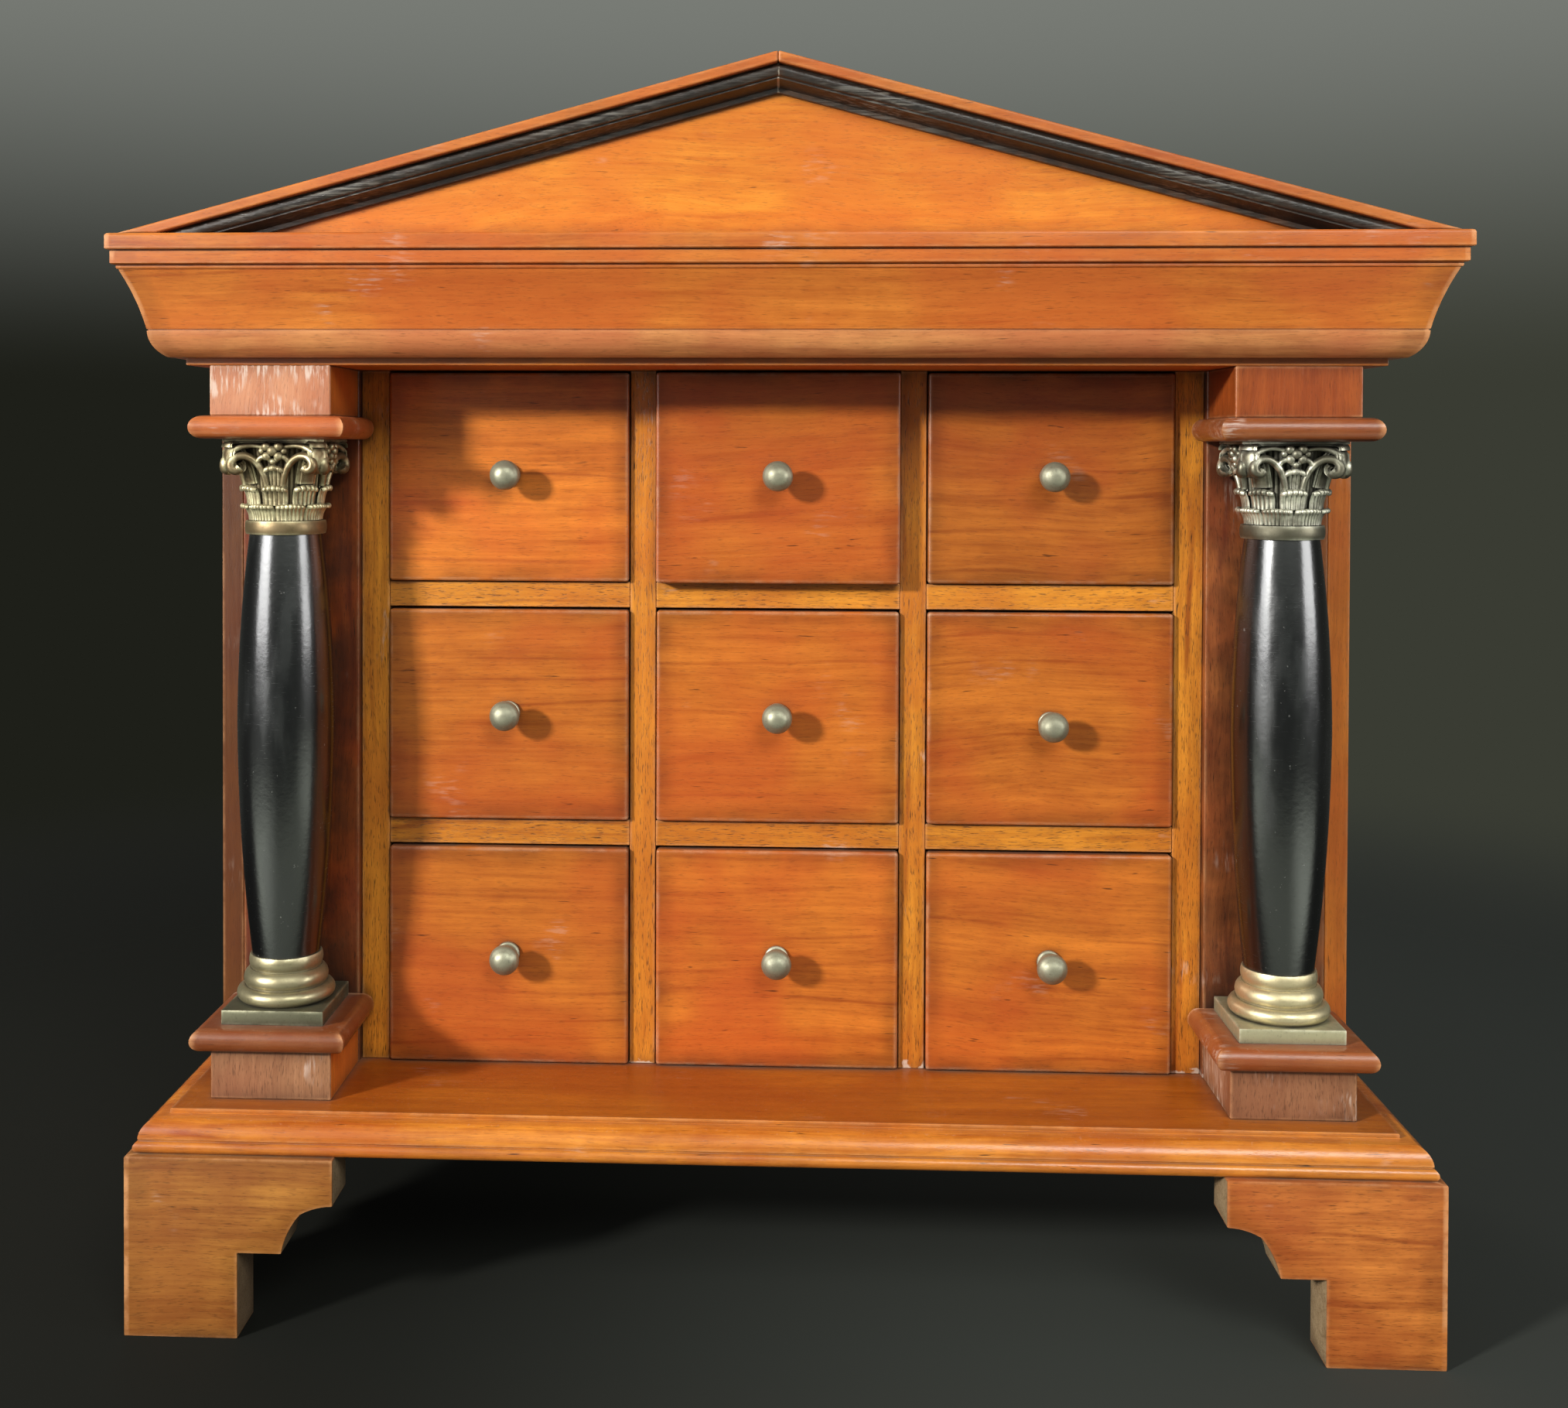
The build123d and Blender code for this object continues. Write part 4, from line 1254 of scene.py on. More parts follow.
@dataclass
class Pedestals:
    """Blocks with bullnose caps, under and over each column."""

    arris: float = 0.7 * MM
    nose_steps: int = 14
    crease: float = 40.0
    seed: float = 50.0
    cap_seed: float = 4.0
    # Darker copies of the cap wood on the upper right and on both lower pedestals, and of the block wood on
    # the lower right, are painted shade; the upper left block's pale wood also carries a painted sheen.
    woods: dict[tuple[str, str], tuple[WoodFinish, WoodFinish]] = field(default_factory=lambda: {
        ("impost", "left"): (PALE_SHEEN_BLOCK_WOOD, CAP_WOOD),
        ("impost", "right"): (BLOCK_WOOD, CAP_WOOD.shaded("cap_wood_brown", 0.52)),
        ("pedestal", "left"): (PINK_BLOCK_WOOD, CAP_WOOD.shaded("cap_wood_dark", 0.42)),
        ("pedestal", "right"): (PINK_BLOCK_WOOD.shaded("pink_block_wood_dark", 0.95),
                                CAP_WOOD.shaded("cap_wood_dull", 0.58)),
    })

    def cap(self, name: str, low: Vector, high: Vector) -> Piece:
        """Build one bullnose cap board between two corners.

        Args:
            name: Name of the object.
            low: Lowest corner.
            high: Highest corner.

        Returns:
            The cap.
        """
        radius = (high.z - low.z) / 2
        nose = arc((-0.98 * radius, 2 * radius), (0.0, radius), (-0.98 * radius, 0.0), self.nose_steps)
        profile = [(-1.5 * radius, 2 * radius), (-radius, 2 * radius), *nose, (-1.5 * radius, 0.0)]
        return three_sided(name, profile, (low.x, high.x, low.y, high.y), low.z, self.crease)

    def build(self) -> None:
        """Build and dress blocks and caps on both sides."""
        for name, side in SIDES:
            for kind, shift in (("pedestal", 0.0), ("impost", 1.4)):
                node = f"{kind}_{name}"
                lower, upper = split_loose(node)
                block, cap = (lower, upper) if kind == "pedestal" else (upper, lower)
                wood, cap_wood = self.woods[kind, name]
                seed = self.seed + 3 * side + shift
                piece = board(f"{kind}_block_{name}", *block, self.arris)
                dress(piece, wood.material(Grain.UPRIGHT, seed), "block_wood", node)
                # Faces of the left blocks towards the middle get lighter wood as painted light.
                if side < 0:
                    inner = PAINTED_LIGHT_INNER_WOOD.material(Grain.UPRIGHT, seed)
                    part_faces(piece, inner, lambda face: face.normal.x > 0.9)
                piece = self.cap(f"{kind}_cap_{name}", *cap)
                dress(piece, cap_wood.material(Grain.ACROSS, seed + self.cap_seed), "block_wood", node)


@dataclass
class BrassBase:
    """Cast base under a column: square plinth, two tori and a rounded ring."""

    plinth_height: float = 6.0 * MM
    lower_torus: Pair = (20.4 * MM, 6.4 * MM)
    upper_torus: Pair = (17.6 * MM, 6.4 * MM)
    ring: Pair = (15.4 * MM, 5.4 * MM)
    groove: float = 0.6 * MM
    seat_radius: float = 12.5 * MM
    arris: float = 0.4 * MM
    crease: float = 30.0
    seed: float = 3.0
    # The right base and plinth finishes are lighter as painted highlights.
    brasses: dict[str, tuple[BrassFinish, BrassFinish]] = field(default_factory=lambda: {
        "left": (BASE_BRASS, PLINTH_BRASS),
        "right": (BASE_BRASS_PAINTED_HIGHLIGHT, PLINTH_BRASS_PAINTED_HIGHLIGHT),
    })

    def profile(self) -> list[Pair]:
        """Radius and height from the plinth's top to the ring's top.

        Returns:
            The points from the bottom up.
        """
        level = self.plinth_height
        neck = self.upper_torus[0] - self.groove
        points = [(neck, level)]
        points += arc((neck + 1.2 * MM, level), (self.lower_torus[0], level + 0.4 * self.lower_torus[1]),
                      (neck, level + self.lower_torus[1]), 16)
        level += self.lower_torus[1] + self.groove
        thin = self.ring[0] - self.groove
        points += [(neck - 0.2 * MM, level - self.groove), (neck - 0.2 * MM, level)]
        points += arc((neck, level), (self.upper_torus[0], level + 0.34 * self.upper_torus[1]),
                      (thin + 0.3 * MM, level + self.upper_torus[1]), 16)
        level += self.upper_torus[1] + self.groove
        top = level + self.ring[1]
        points += [(thin - 0.1 * MM, level - self.groove), (thin - 0.1 * MM, level)]
        points += arc((thin, level), (self.ring[0], level + self.ring[1] / 2), (thin, top), 10)
        return points + [(self.seat_radius, top)]

    def build(self) -> None:
        """Build and dress both bases."""
        for name, side in SIDES:
            node = f"column_base_{name}"
            low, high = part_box(node)
            plinth_top = low.z + self.plinth_height
            form = bmesh.new()
            box_form(form, low, (high.x, high.y, plinth_top))
            round_edges(form, form.edges[:], self.arris)
            turned(form, self.profile(), foot_centre(node))
            piece = piece_of(f"brass_base_{name}", mend(form), self.crease)
            rings_brass, plinth_brass = self.brasses[name]
            seed = self.seed + side
            dress(piece, rings_brass.material(seed), "antique_brass", node)
            part_faces(piece, plinth_brass.material(seed), lambda face: face.center.z < plinth_top)


@dataclass
class Shaft:
    """Barrel-shaped black shaft."""

    foot: float = 14.2 * MM
    belly: float = 20.2 * MM
    head: float = 15.1 * MM
    inset: float = 0.5 * MM
    belly_level: float = 0.553
    steps: int = 60
    facets: int = 128
    crease: float = 50.0
    seed: float = 7.0

    def radius(self, level: float) -> float:
        """Radius at a level from 0 at the foot to 1 at the head.

        Args:
            level: Share of the height.

        Returns:
            The radius.
        """
        end = self.foot if level < self.belly_level else self.head
        reach = self.belly_level if level < self.belly_level else 1 - self.belly_level
        away = abs(level - self.belly_level) / reach
        return self.belly - (self.belly - end) * (0.38 * away + 0.62 * away ** 2) * away ** 0.35

    def build(self) -> None:
        """Build and dress both shafts."""
        for name, side in SIDES:
            node = f"column_shaft_{name}"
            low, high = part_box(f"column_base_{name}")[1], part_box(f"capital_{name}")[0]
            middle = foot_centre(node)
            length = high.z - low.z
            profile = [(0.0, 0.0), (self.foot - self.inset, 0.0)]
            profile += [(self.radius(step / self.steps), length * step / self.steps)
                        for step in range(self.steps + 1)]
            profile += [(self.head - self.inset, length), (0.0, length)]
            form = bmesh.new()
            turned(form, profile, (middle[0], middle[1], low.z), steps=self.facets)
            piece = piece_of(f"black_shaft_{name}", mend(form), self.crease)
            dress(piece, BlackPolish().material(self.seed + side), "black_shaft", node)


@dataclass
class LeafRing:
    """Ring of ribbed, curled leaves round the capital's bell, laid out by a node tree."""

    name: str
    count: int
    height: float
    width: float
    curl: float
    lean: float
    foot_radius: float
    foot_level: float
    turn: float
    ribs: int = 5
    lobes: int = 5
    droop: float = 0.8 * MM
    rib_depth: float = 0.55 * MM
    roll_from: float = 0.62
    roll_angle: float = math.radians(235)
    thickness: float = 0.5 * MM
    rows: int = 24
    columns: int = 40
    crease: float = 60.0

    def place(self, u: float, v: float) -> Point:
        """Point of a leaf that rises along +Z, faces +X and rolls over at its lobed tip.

        Args:
            u: From -1 at one edge to 1 at the other.
            v: From 0 at the foot to 1 at the tip.

        Returns:
            The point.
        """
        rise = min(v / self.roll_from, 1.0)
        roll = max((v - self.roll_from) / (1 - self.roll_from), 0.0) * self.roll_angle
        lobe = abs(math.cos(u * math.pi * self.lobes / 2)) ** 0.6
        ribs = abs(math.cos(u * math.pi * self.ribs / 2)) ** 0.7
        rib = self.rib_depth * ribs * (1 - 0.6 * min(roll, 1.0))
        curl = self.curl * (0.72 + 0.34 * lobe) * (1 - 0.3 * u ** 4)
        y = u * self.width / 2 * (0.9 + 0.1 * rise)
        out = self.lean * rise ** 2 + curl * (1 - math.cos(roll)) + rib
        level = self.height * rise - self.droop * u * u * rise ** 2 + curl * math.sin(roll)
        return math.sqrt(self.foot_radius ** 2 - y * y) - self.foot_radius + out, y, level

    def leaf(self) -> Piece:
        """One leaf with a thickness.

        Returns:
            The leaf, as a plain mesh.
        """
        form = bmesh.new()
        loft(form, [[self.place(column / self.columns * 2 - 1, row / self.rows)
                     for column in range(self.columns + 1)] for row in range(self.rows + 1)], False, False)
        leaf = piece_of(f"{self.name}_pattern", form, self.crease)
        solid = leaf.modifiers.new("wall", "SOLIDIFY")
        solid.thickness = self.thickness
        solid.offset = 0.0
        return settle(leaf)

    def tree(self) -> Tree:
        """Geometry nodes that set leaves round a circle and give them their material.

        Returns:
            The node tree, with named inputs.
        """
        graph = Graph(bpy.data.node_groups.new(f"{self.name}_ring", "GeometryNodeTree"))
        given = graph.given({"Leaf": "NodeSocketObject", "Count": "NodeSocketInt", "Radius": FLOAT,
                             "Turn": FLOAT, "Place": VECTOR, "Material": "NodeSocketMaterial"})
        line = graph.value("GeometryNodeMeshLine", {"Count": given["Count"], "Offset": (0.0, 0.0, 0.0)})
        share = (graph.value("GeometryNodeInputIndex") * math.tau).math("DIVIDE", given["Count"])
        angle = share + given["Turn"]
        spot = graph.value("ShaderNodeCombineXYZ", {0: angle.math("COSINE") * given["Radius"],
                                                    1: angle.math("SINE") * given["Radius"]})
        moved = graph.value("GeometryNodeSetPosition", {"Geometry": line, "Position": spot + given["Place"]})
        pattern = graph.value("GeometryNodeObjectInfo", {"Object": given["Leaf"]}, "Geometry")
        turn = graph.value("ShaderNodeCombineXYZ", {2: angle})
        ring = graph.value("GeometryNodeInstanceOnPoints", {"Points": moved, "Instance": pattern,
                                                            "Rotation": turn})
        real = graph.value("GeometryNodeRealizeInstances", {0: ring})
        return graph.give("NodeSocketGeometry", Geometry=graph.value("GeometryNodeSetMaterial", {
            "Geometry": real, "Material": given["Material"]}))

    def add(self, form: Form, centre: Point, material: Material) -> None:
        """Lay the leaves out round the bell.

        Args:
            form: Where the ring goes.
            centre: Foot of the capital on its axis.
            material: What the leaves are made of.
        """
        leaf = self.leaf()
        carrier = add_object(f"{self.name}_carrier", bpy.data.meshes.new("carrier"))
        modifier = carrier.modifiers.new("ring", "NODES")
        modifier.node_group = self.tree()
        place = (centre[0], centre[1], centre[2] + self.foot_level)
        values = {"Leaf": leaf, "Count": self.count, "Radius": self.foot_radius,
                  "Turn": math.radians(self.turn), "Place": place, "Material": material}
        for item in modifier.node_group.interface.items_tree:
            if item.in_out == "INPUT":
                modifier[item.identifier] = values[item.name]
        mesh = settle(carrier).data
        form.from_mesh(mesh)
        bpy.data.objects.remove(carrier)
        bpy.data.objects.remove(leaf)
        bpy.data.meshes.remove(mesh)


@dataclass
class Capital:
    """Cast brass capital: ring, fluted bell, tiers of leaves, stems, corner curls, flowers and plate.

    The carving's points and radii are in millimetres from the axis and the foot.
    """

    height: float = 40.0 * MM
    ring_radius: float = 17.0 * MM
    ring_round: float = 0.5 * MM
    ring_top: float = 5.6 * MM
    bell_radius: float = 14.0 * MM
    bell_flare: float = 4.6 * MM
    flute_depth: float = 0.8 * MM
    flutes: int = 44
    plate_half: float = 21.4 * MM
    plate_hollow: float = 3.0 * MM
    plate_corner: float = 2.4 * MM
    plate_height: float = 2.2 * MM
    crease: float = 55.0
    seed: float = 5.0
    stem: tuple[Point, ...] = (
        (3.4, -16.2, 20.6), (4.6, -17.2, 25.6), (7.2, -18.2, 30.2), (11.2, -19.2, 32.8), (15.2, -20.2, 32.4),
        (17.2, -20.9, 30.0), (16.8, -20.9, 27.6), (14.8, -20.4, 26.9), (13.6, -20.0, 28.0))
    tendril: tuple[Point, ...] = (
        (1.0, -18.4, 31.2), (3.2, -19.0, 32.6), (5.6, -18.9, 31.8), (7.0, -18.4, 29.4))
    lip: tuple[Point, ...] = (
        (4.6, -18.6, 36.6), (9.2, -18.6, 37.2), (13.6, -19.6, 36.4), (17.2, -20.4, 34.4))
    curl: tuple[Pair, ...] = (
        (16.0, 21.5), (17.8, 28.0), (20.2, 33.0), (23.2, 36.0), (25.8, 35.2), (26.4, 32.0), (25.4, 28.6),
        (23.4, 26.8), (21.6, 27.4), (21.4, 29.4), (22.6, 30.6))
    lobe: tuple[Pair, ...] = ((21.0, 36.6), (24.4, 38.6), (26.8, 38.0), (27.2, 36.4))
    stem_radii: Pair = (1.3, 2.1)
    tendril_radii: Pair = (1.2, 1.0)
    lip_radii: Pair = (0.9, 1.3)
    stem_sides: int = 12
    stem_width: float = 1.2
    curl_section: Pair = (4.3, 1.6)
    lobe_section: Pair = (3.8, 1.1)
    curl_sides: int = 28
    curl_ribs: float = 0.07
    smoothness: int = 5
    petals: tuple[tuple[float, float, float, float], ...] = (
        (0.0, -20.2, 35.0, 2.2), (-2.6, -19.8, 36.8, 2.0), (2.6, -19.8, 36.8, 2.0), (-2.4, -19.8, 32.9, 1.9),
        (2.4, -19.8, 32.9, 1.9), (-4.6, -19.0, 35.0, 1.5), (4.6, -19.0, 35.0, 1.5), (0.0, -19.2, 30.6, 1.4))
    tiers: tuple[LeafRing, ...] = field(default_factory=lambda: (
        LeafRing("lower_leaf", 8, 5.8 * MM, 11.8 * MM, 0.85 * MM, 2.2 * MM, 14.5 * MM, 5.9 * MM, 22.5,
                 ribs=7, lobes=7, droop=0.3 * MM),
        LeafRing("upper_leaf", 8, 7.2 * MM, 10.6 * MM, 1.1 * MM, 1.6 * MM, 15.3 * MM, 12.2 * MM, 0.0),
        LeafRing("face_leaf", 4, 8.2 * MM, 9.2 * MM, 1.1 * MM, 1.6 * MM, 15.8 * MM, 19.6 * MM, 0.0,
                 lobes=3, droop=1.6 * MM)))

    def bell(self, form: Form, centre: Point) -> None:
        """Convex ring, then the fluted bell, as one surface.

        Args:
            form: Where the faces go.
            centre: Foot of the capital on its axis.
        """
        foot = self.ring_top + 0.5 * MM
        top = self.height - self.plate_height
        levels = [self.ring_top * step / 8 for step in range(9)] + [self.ring_top + 0.1 * MM]
        levels += [foot + (top - foot) * step / 40 for step in range(41)]
        steps = self.flutes * 8
        rings = []
        for level in levels:
            ring = []
            for step in range(steps):
                angle = math.tau * step / steps
                if level <= self.ring_top:
                    radius = self.ring_radius - self.ring_round * abs(level / self.ring_top * 2 - 1) ** 2.5
                else:
                    rise = max(level - foot, 0.0) / (top - foot)
                    flute = abs(math.cos(angle * self.flutes / 2)) ** 0.7
                    radius = self.bell_radius + self.bell_flare * rise ** 1.5 - self.flute_depth * (1 - flute)
                ring.append((centre[0] + radius * math.cos(angle), centre[1] + radius * math.sin(angle),
                             centre[2] + level))
            rings.append(ring)
        loft(form, rings)

    def plate(self, form: Form, centre: Point) -> None:
        """Hollow-sided plate with cut corners and a moulded edge.

        Args:
            form: Where the faces go.
            centre: Foot of the capital on its axis.
        """
        outline = []
        half = self.plate_half
        side = arc((-half + self.plate_corner, -half), (0.0, -half + self.plate_hollow),
                   (half - self.plate_corner, -half), 14)
        for turn in range(4):
            spin = Matrix.Rotation(math.radians(90 * turn), 2)
            outline += [tuple(spin @ Vector(point)) for point in side]
        top = self.height
        foot = top - self.plate_height
        edge = ((0.9, foot), (0.96, foot + 0.4 * MM), (0.965, top - 1.2 * MM), (1.0, top - 1.0 * MM),
                (1.0, top - 0.15 * MM), (0.985, top))
        loft(form, [[(centre[0] + x * scale, centre[1] + y * scale, centre[2] + level) for x, y in outline]
                    for scale, level in edge])

    def face_work(self, form: Form, centre: Point) -> None:
        """Stems, flower and corner curls on each of the four faces.

        Args:
            form: Where the faces go.
            centre: Foot of the capital on its axis.
        """
        vines = ((self.stem, self.stem_radii), (self.tendril, self.tendril_radii), (self.lip, self.lip_radii))
        for turn in range(4):
            spin = Matrix.Rotation(math.radians(90 * turn), 3, "Z")
            for hand in (-1, 1):
                for line, (first, last) in vines:
                    path = [spin @ place * MM + Vector(centre)
                            for place in smooth_path([(hand * x, y, z) for x, y, z in line], self.smoothness)]
                    count = len(path) - 1
                    radii = [(first + (last - first) * index / count) * MM for index in range(count + 1)]
                    tube(form, path, radii, self.stem_sides, self.stem_width, spin @ Vector((0, -1, 0)))
            for x, y, z, radius in self.petals:
                place = Matrix.Translation(spin @ Vector((x, y, z)) * MM + Vector(centre))
                bmesh.ops.create_icosphere(form, subdivisions=2, radius=radius * MM, matrix=place)
            away = spin @ Vector((1, -1, 0)).normalized()
            wide = spin @ Vector((1, 1, 0)).normalized()
            for line, (half, thick) in ((self.curl, self.curl_section), (self.lobe, self.lobe_section)):
                path = [away * place.x * MM + Vector((0, 0, place.y * MM)) + Vector(centre)
                        for place in smooth_path([(out, level, 0.0) for out, level in line], self.smoothness)]
                radii = [thick * MM] * len(path)
                tube(form, path, radii, self.curl_sides, half / thick, wide, self.curl_ribs)

    def build(self) -> None:
        """Build and dress both capitals."""
        for (name, side), brass in zip(SIDES, (LEFT_BRASS, RIGHT_BRASS)):
            node = f"capital_{name}"
            centre = foot_centre(node)
            finish = brass.material(self.seed + side)
            form = bmesh.new()
            for carve in (self.bell, self.plate, self.face_work):
                carve(form, centre)
            mend(form)
            for tier in self.tiers:
                tier.add(form, centre, finish)
            dress(piece_of(f"cast_capital_{name}", form, self.crease), finish, "antique_brass", node)


@dataclass
class Cornice:
    """Cornice moulding: ovolo, long cove, bead and two fillets, with mitred returns.

    The points of its section are (outwards, up) in millimetres from the case and the foot.
    """

    ovolo_height: float = 10.9 * MM
    ovolo: Curve = ((5.5, 0.0), (9.85, 3.89), (11.9, 10.4))
    quirk: tuple[Pair, ...] = ((11.5, 10.5), (11.5, 11.0), (11.95, 11.1))
    cove: Curve = ((12.0, 11.2), (15.4, 23.0), (20.2, 34.1))
    fillets: tuple[Pair, ...] = (
        (20.3, 34.5), (20.9, 34.7), (21.2, 35.3), (21.0, 36.2), (22.4, 36.4), (22.9, 36.8), (22.9, 41.5),
        (22.5, 41.8), (22.5, 42.2), (24.1, 42.2), (24.5, 42.6), (24.5, 47.4))
    nose: Curve = ((24.5, 47.4), (24.1, 48.3), (23.2, 48.7))
    mitre_gap: float = 0.08 * MM
    crease: float = 24.0
    front_seed: float = 60.0
    return_seed: float = 64.0

    def profile(self) -> list[Pair]:
        """Points of (outwards, up) from the foot to the inner top, in metres.

        Returns:
            The points.
        """
        mm = [self.ovolo[0], *arc(*self.ovolo, 14), *self.quirk, *arc(*self.cove, 18), *self.fillets,
              *arc(*self.nose, 5)[1:], (0.0, self.nose[2][1]), (0.0, 0.0)]
        return [(out * MM, up * MM) for out, up in mm]

    def build(self) -> None:
        """Build and dress the front length and both returns."""
        low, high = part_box("cornice_front")
        projection = self.fillets[-1][0] * MM
        half = high.x - projection
        edge = low.y + projection
        profile = self.profile()
        lengths = [("front_moulding", "front", Grain.ACROSS, self.front_seed, [
            [(side * (half + out), edge - out, low.z + up) for out, up in profile] for side in (-1, 1)])]
        for name, side in SIDES:
            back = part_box(f"cornice_{name}")[1].y
            lengths.append((f"return_{name}", name, Grain.DEEP, self.return_seed + side, [
                [(side * (half + out), edge - out + self.mitre_gap, low.z + up) for out, up in profile],
                [(side * (half + out), back, low.z + up) for out, up in profile]]))
        for name, node, grain, seed, rings in lengths:
            piece = lofted(f"cornice_{name}", rings, self.crease)
            dress(piece, CORNICE_WOOD.material(grain, seed), "mahogany", f"cornice_{node}")
            # Paler, greyer wood on the lowest ovolo.
            part_faces(piece, GREYER_CORNICE_WOOD.material(grain, seed), lambda face: (
                face.center.z < low.z + self.ovolo_height))


@dataclass
class Pediment:
    """Tympanum, black raking mouldings and roof boards."""

    board_arris: float = 0.3 * MM
    roof_arris: float = 0.9 * MM
    depth: float = 11.0 * MM
    drop: float = 9.8 * MM
    fillet: float = 2.0 * MM
    mitre_gap: float = 0.05 * MM
    crease: float = 30.0
    seeds: Point = (70.0, 72.0, 75.0)

    def section(self) -> list[Pair]:
        """Points of (outwards, down) of the raking moulding: torus, quirk, hollow, fillet.

        Returns:
            The points.
        """
        torus = 0.48 * self.drop
        foot = self.drop - self.fillet
        crown = self.depth - 1.4 * MM
        quirk = self.depth - 2.2 * MM
        hollow = (self.fillet + 2.2 * MM, (torus + foot) / 2 + 0.8 * MM)
        return [(0.0, 0.0), (crown, 0.0),
                *arc((crown + 0.2 * MM, 0.1 * MM), (self.depth, torus / 2), (crown, torus), 12),
                (quirk, torus + 0.1 * MM), (quirk, torus + 0.7 * MM),
                *arc((quirk, torus + 0.8 * MM), hollow, (self.fillet, foot), 10),
                (self.fillet, self.drop - 0.3 * MM), (self.fillet - 0.3 * MM, self.drop), (0.0, self.drop)]

    def build(self) -> None:
        """Build and dress the pediment."""
        piece = soften(merged_copy("tympanum", "tympanum_board"), self.board_arris)
        dress(piece, TYMPANUM_WOOD.material(Grain.ACROSS, self.seeds[0]), "tympanum_wood", "tympanum")
        for name, side in SIDES:
            node = f"roof_{name}"
            piece = soften(merged_copy(node, f"roof_board_{name}"), self.roof_arris, 3, 10.0)
            dress(piece, ROOF_WOOD.material(Grain.ACROSS, self.seeds[1] + side), "mahogany", node)
            node = f"raking_moulding_{name}"
            low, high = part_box(node)
            slope = (high.z - low.z) / (high.x - low.x)
            share = math.cos(math.atan(slope))
            levels = [(high.y - out, high.z - down / share) for out, down in self.section()]
            piece = lofted(f"black_moulding_{name}", [
                [(side * self.mitre_gap, y, level) for y, level in levels],
                [(side * (level - low.z) / slope, y, low.z) for y, level in levels]], self.crease)
            dress(piece, EbonisedFinish().material(self.seeds[2] + side), "ebonised_wood", node)


@dataclass
class Drawers:
    """Nine drawers: fronts with eased arrises, lined boxes and turned knobs.

    The knob's points are (radius, reach) in millimetres from the drawer front.
    """

    rows: tuple[str, ...] = ("bottom", "middle", "top")
    columns: tuple[str, ...] = ("left", "centre", "right")
    arris: float = 1.3 * MM
    knob_foot: tuple[Pair, ...] = ((0.0, 0.0), (4.9, 0.0), (5.1, 0.3), (5.1, 1.3), (4.8, 1.7), (4.3, 1.9))
    knob_neck: Curve = ((4.2, 2.1), (3.35, 5.0), (4.6, 8.0))
    knob_head: Curve = ((4.9, 8.2), (6.4, 10.4), (5.0, 13.9))
    knob_face: Curve = ((5.0, 13.9), (2.9, 15.5), (0.0, 16.0))
    knob_facets: int = 64
    crease: float = 45.0
    front_seed: float = 80.0
    lining_seed: float = 90.0
    # Lightness of each front from the bottom left; the top left front's extra lightness is a painted sheen.
    lightness: tuple[float, ...] = (0.84, 1.0, 0.92, 0.88, 0.96, 0.88, 1.15, 0.92, 0.74)

    def knob_profile(self) -> list[Pair]:
        """Radius and reach of the knob from the drawer front outwards, in metres.

        Returns:
            The points.
        """
        mm = [*self.knob_foot, *arc(*self.knob_neck, 10), *arc(*self.knob_head, 10),
              *arc(*self.knob_face, 8)[1:]]
        return [(radius * MM, reach * MM) for radius, reach in mm]

    def finish(self, number: int) -> Material:
        """Wood of one front; each is cut from its own stretch of board, some lighter and some darker, and the
        top left front's extra lightness is a painted sheen.

        Args:
            number: Which drawer, from the bottom left.

        Returns:
            The finished material.
        """
        wood = DRAWER_WOOD.shaded(f"drawer_wood_{number}", self.lightness[number])
        wood = replace(wood, wander=0.008 + 0.008 * (number % 3))
        return wood.material(Grain.ACROSS, self.front_seed + 1.7 * number)

    def build(self) -> None:
        """Build and dress every drawer."""
        lining = LINING_WOOD.material(Grain.DEEP, self.lining_seed)
        drawers = [f"drawer_{row}_{column}" for row in self.rows for column in self.columns]
        for number, drawer in enumerate(drawers):
            node = f"{drawer}_front"
            piece = board(f"{node}_board", *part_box(node), self.arris)
            dress(piece, self.finish(number), "mahogany_front", node, drawer)
            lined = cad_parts[f"{drawer}_box"]
            lined.data.materials.clear()
            lined.data.materials.append(lining)
            node = f"{drawer}_knob"
            low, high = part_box(node)
            form = bmesh.new()
            seat = ((low.x + high.x) / 2, low.y + self.knob_face[-1][1] * MM, (low.z + high.z) / 2)
            turned(form, self.knob_profile(), seat, True, self.knob_facets)
            piece = piece_of(f"{drawer}_turned_knob", mend(form), self.crease)
            dress(piece, KNOB_BRASS.material(1.0 + number), "knob_brass", node, drawer)


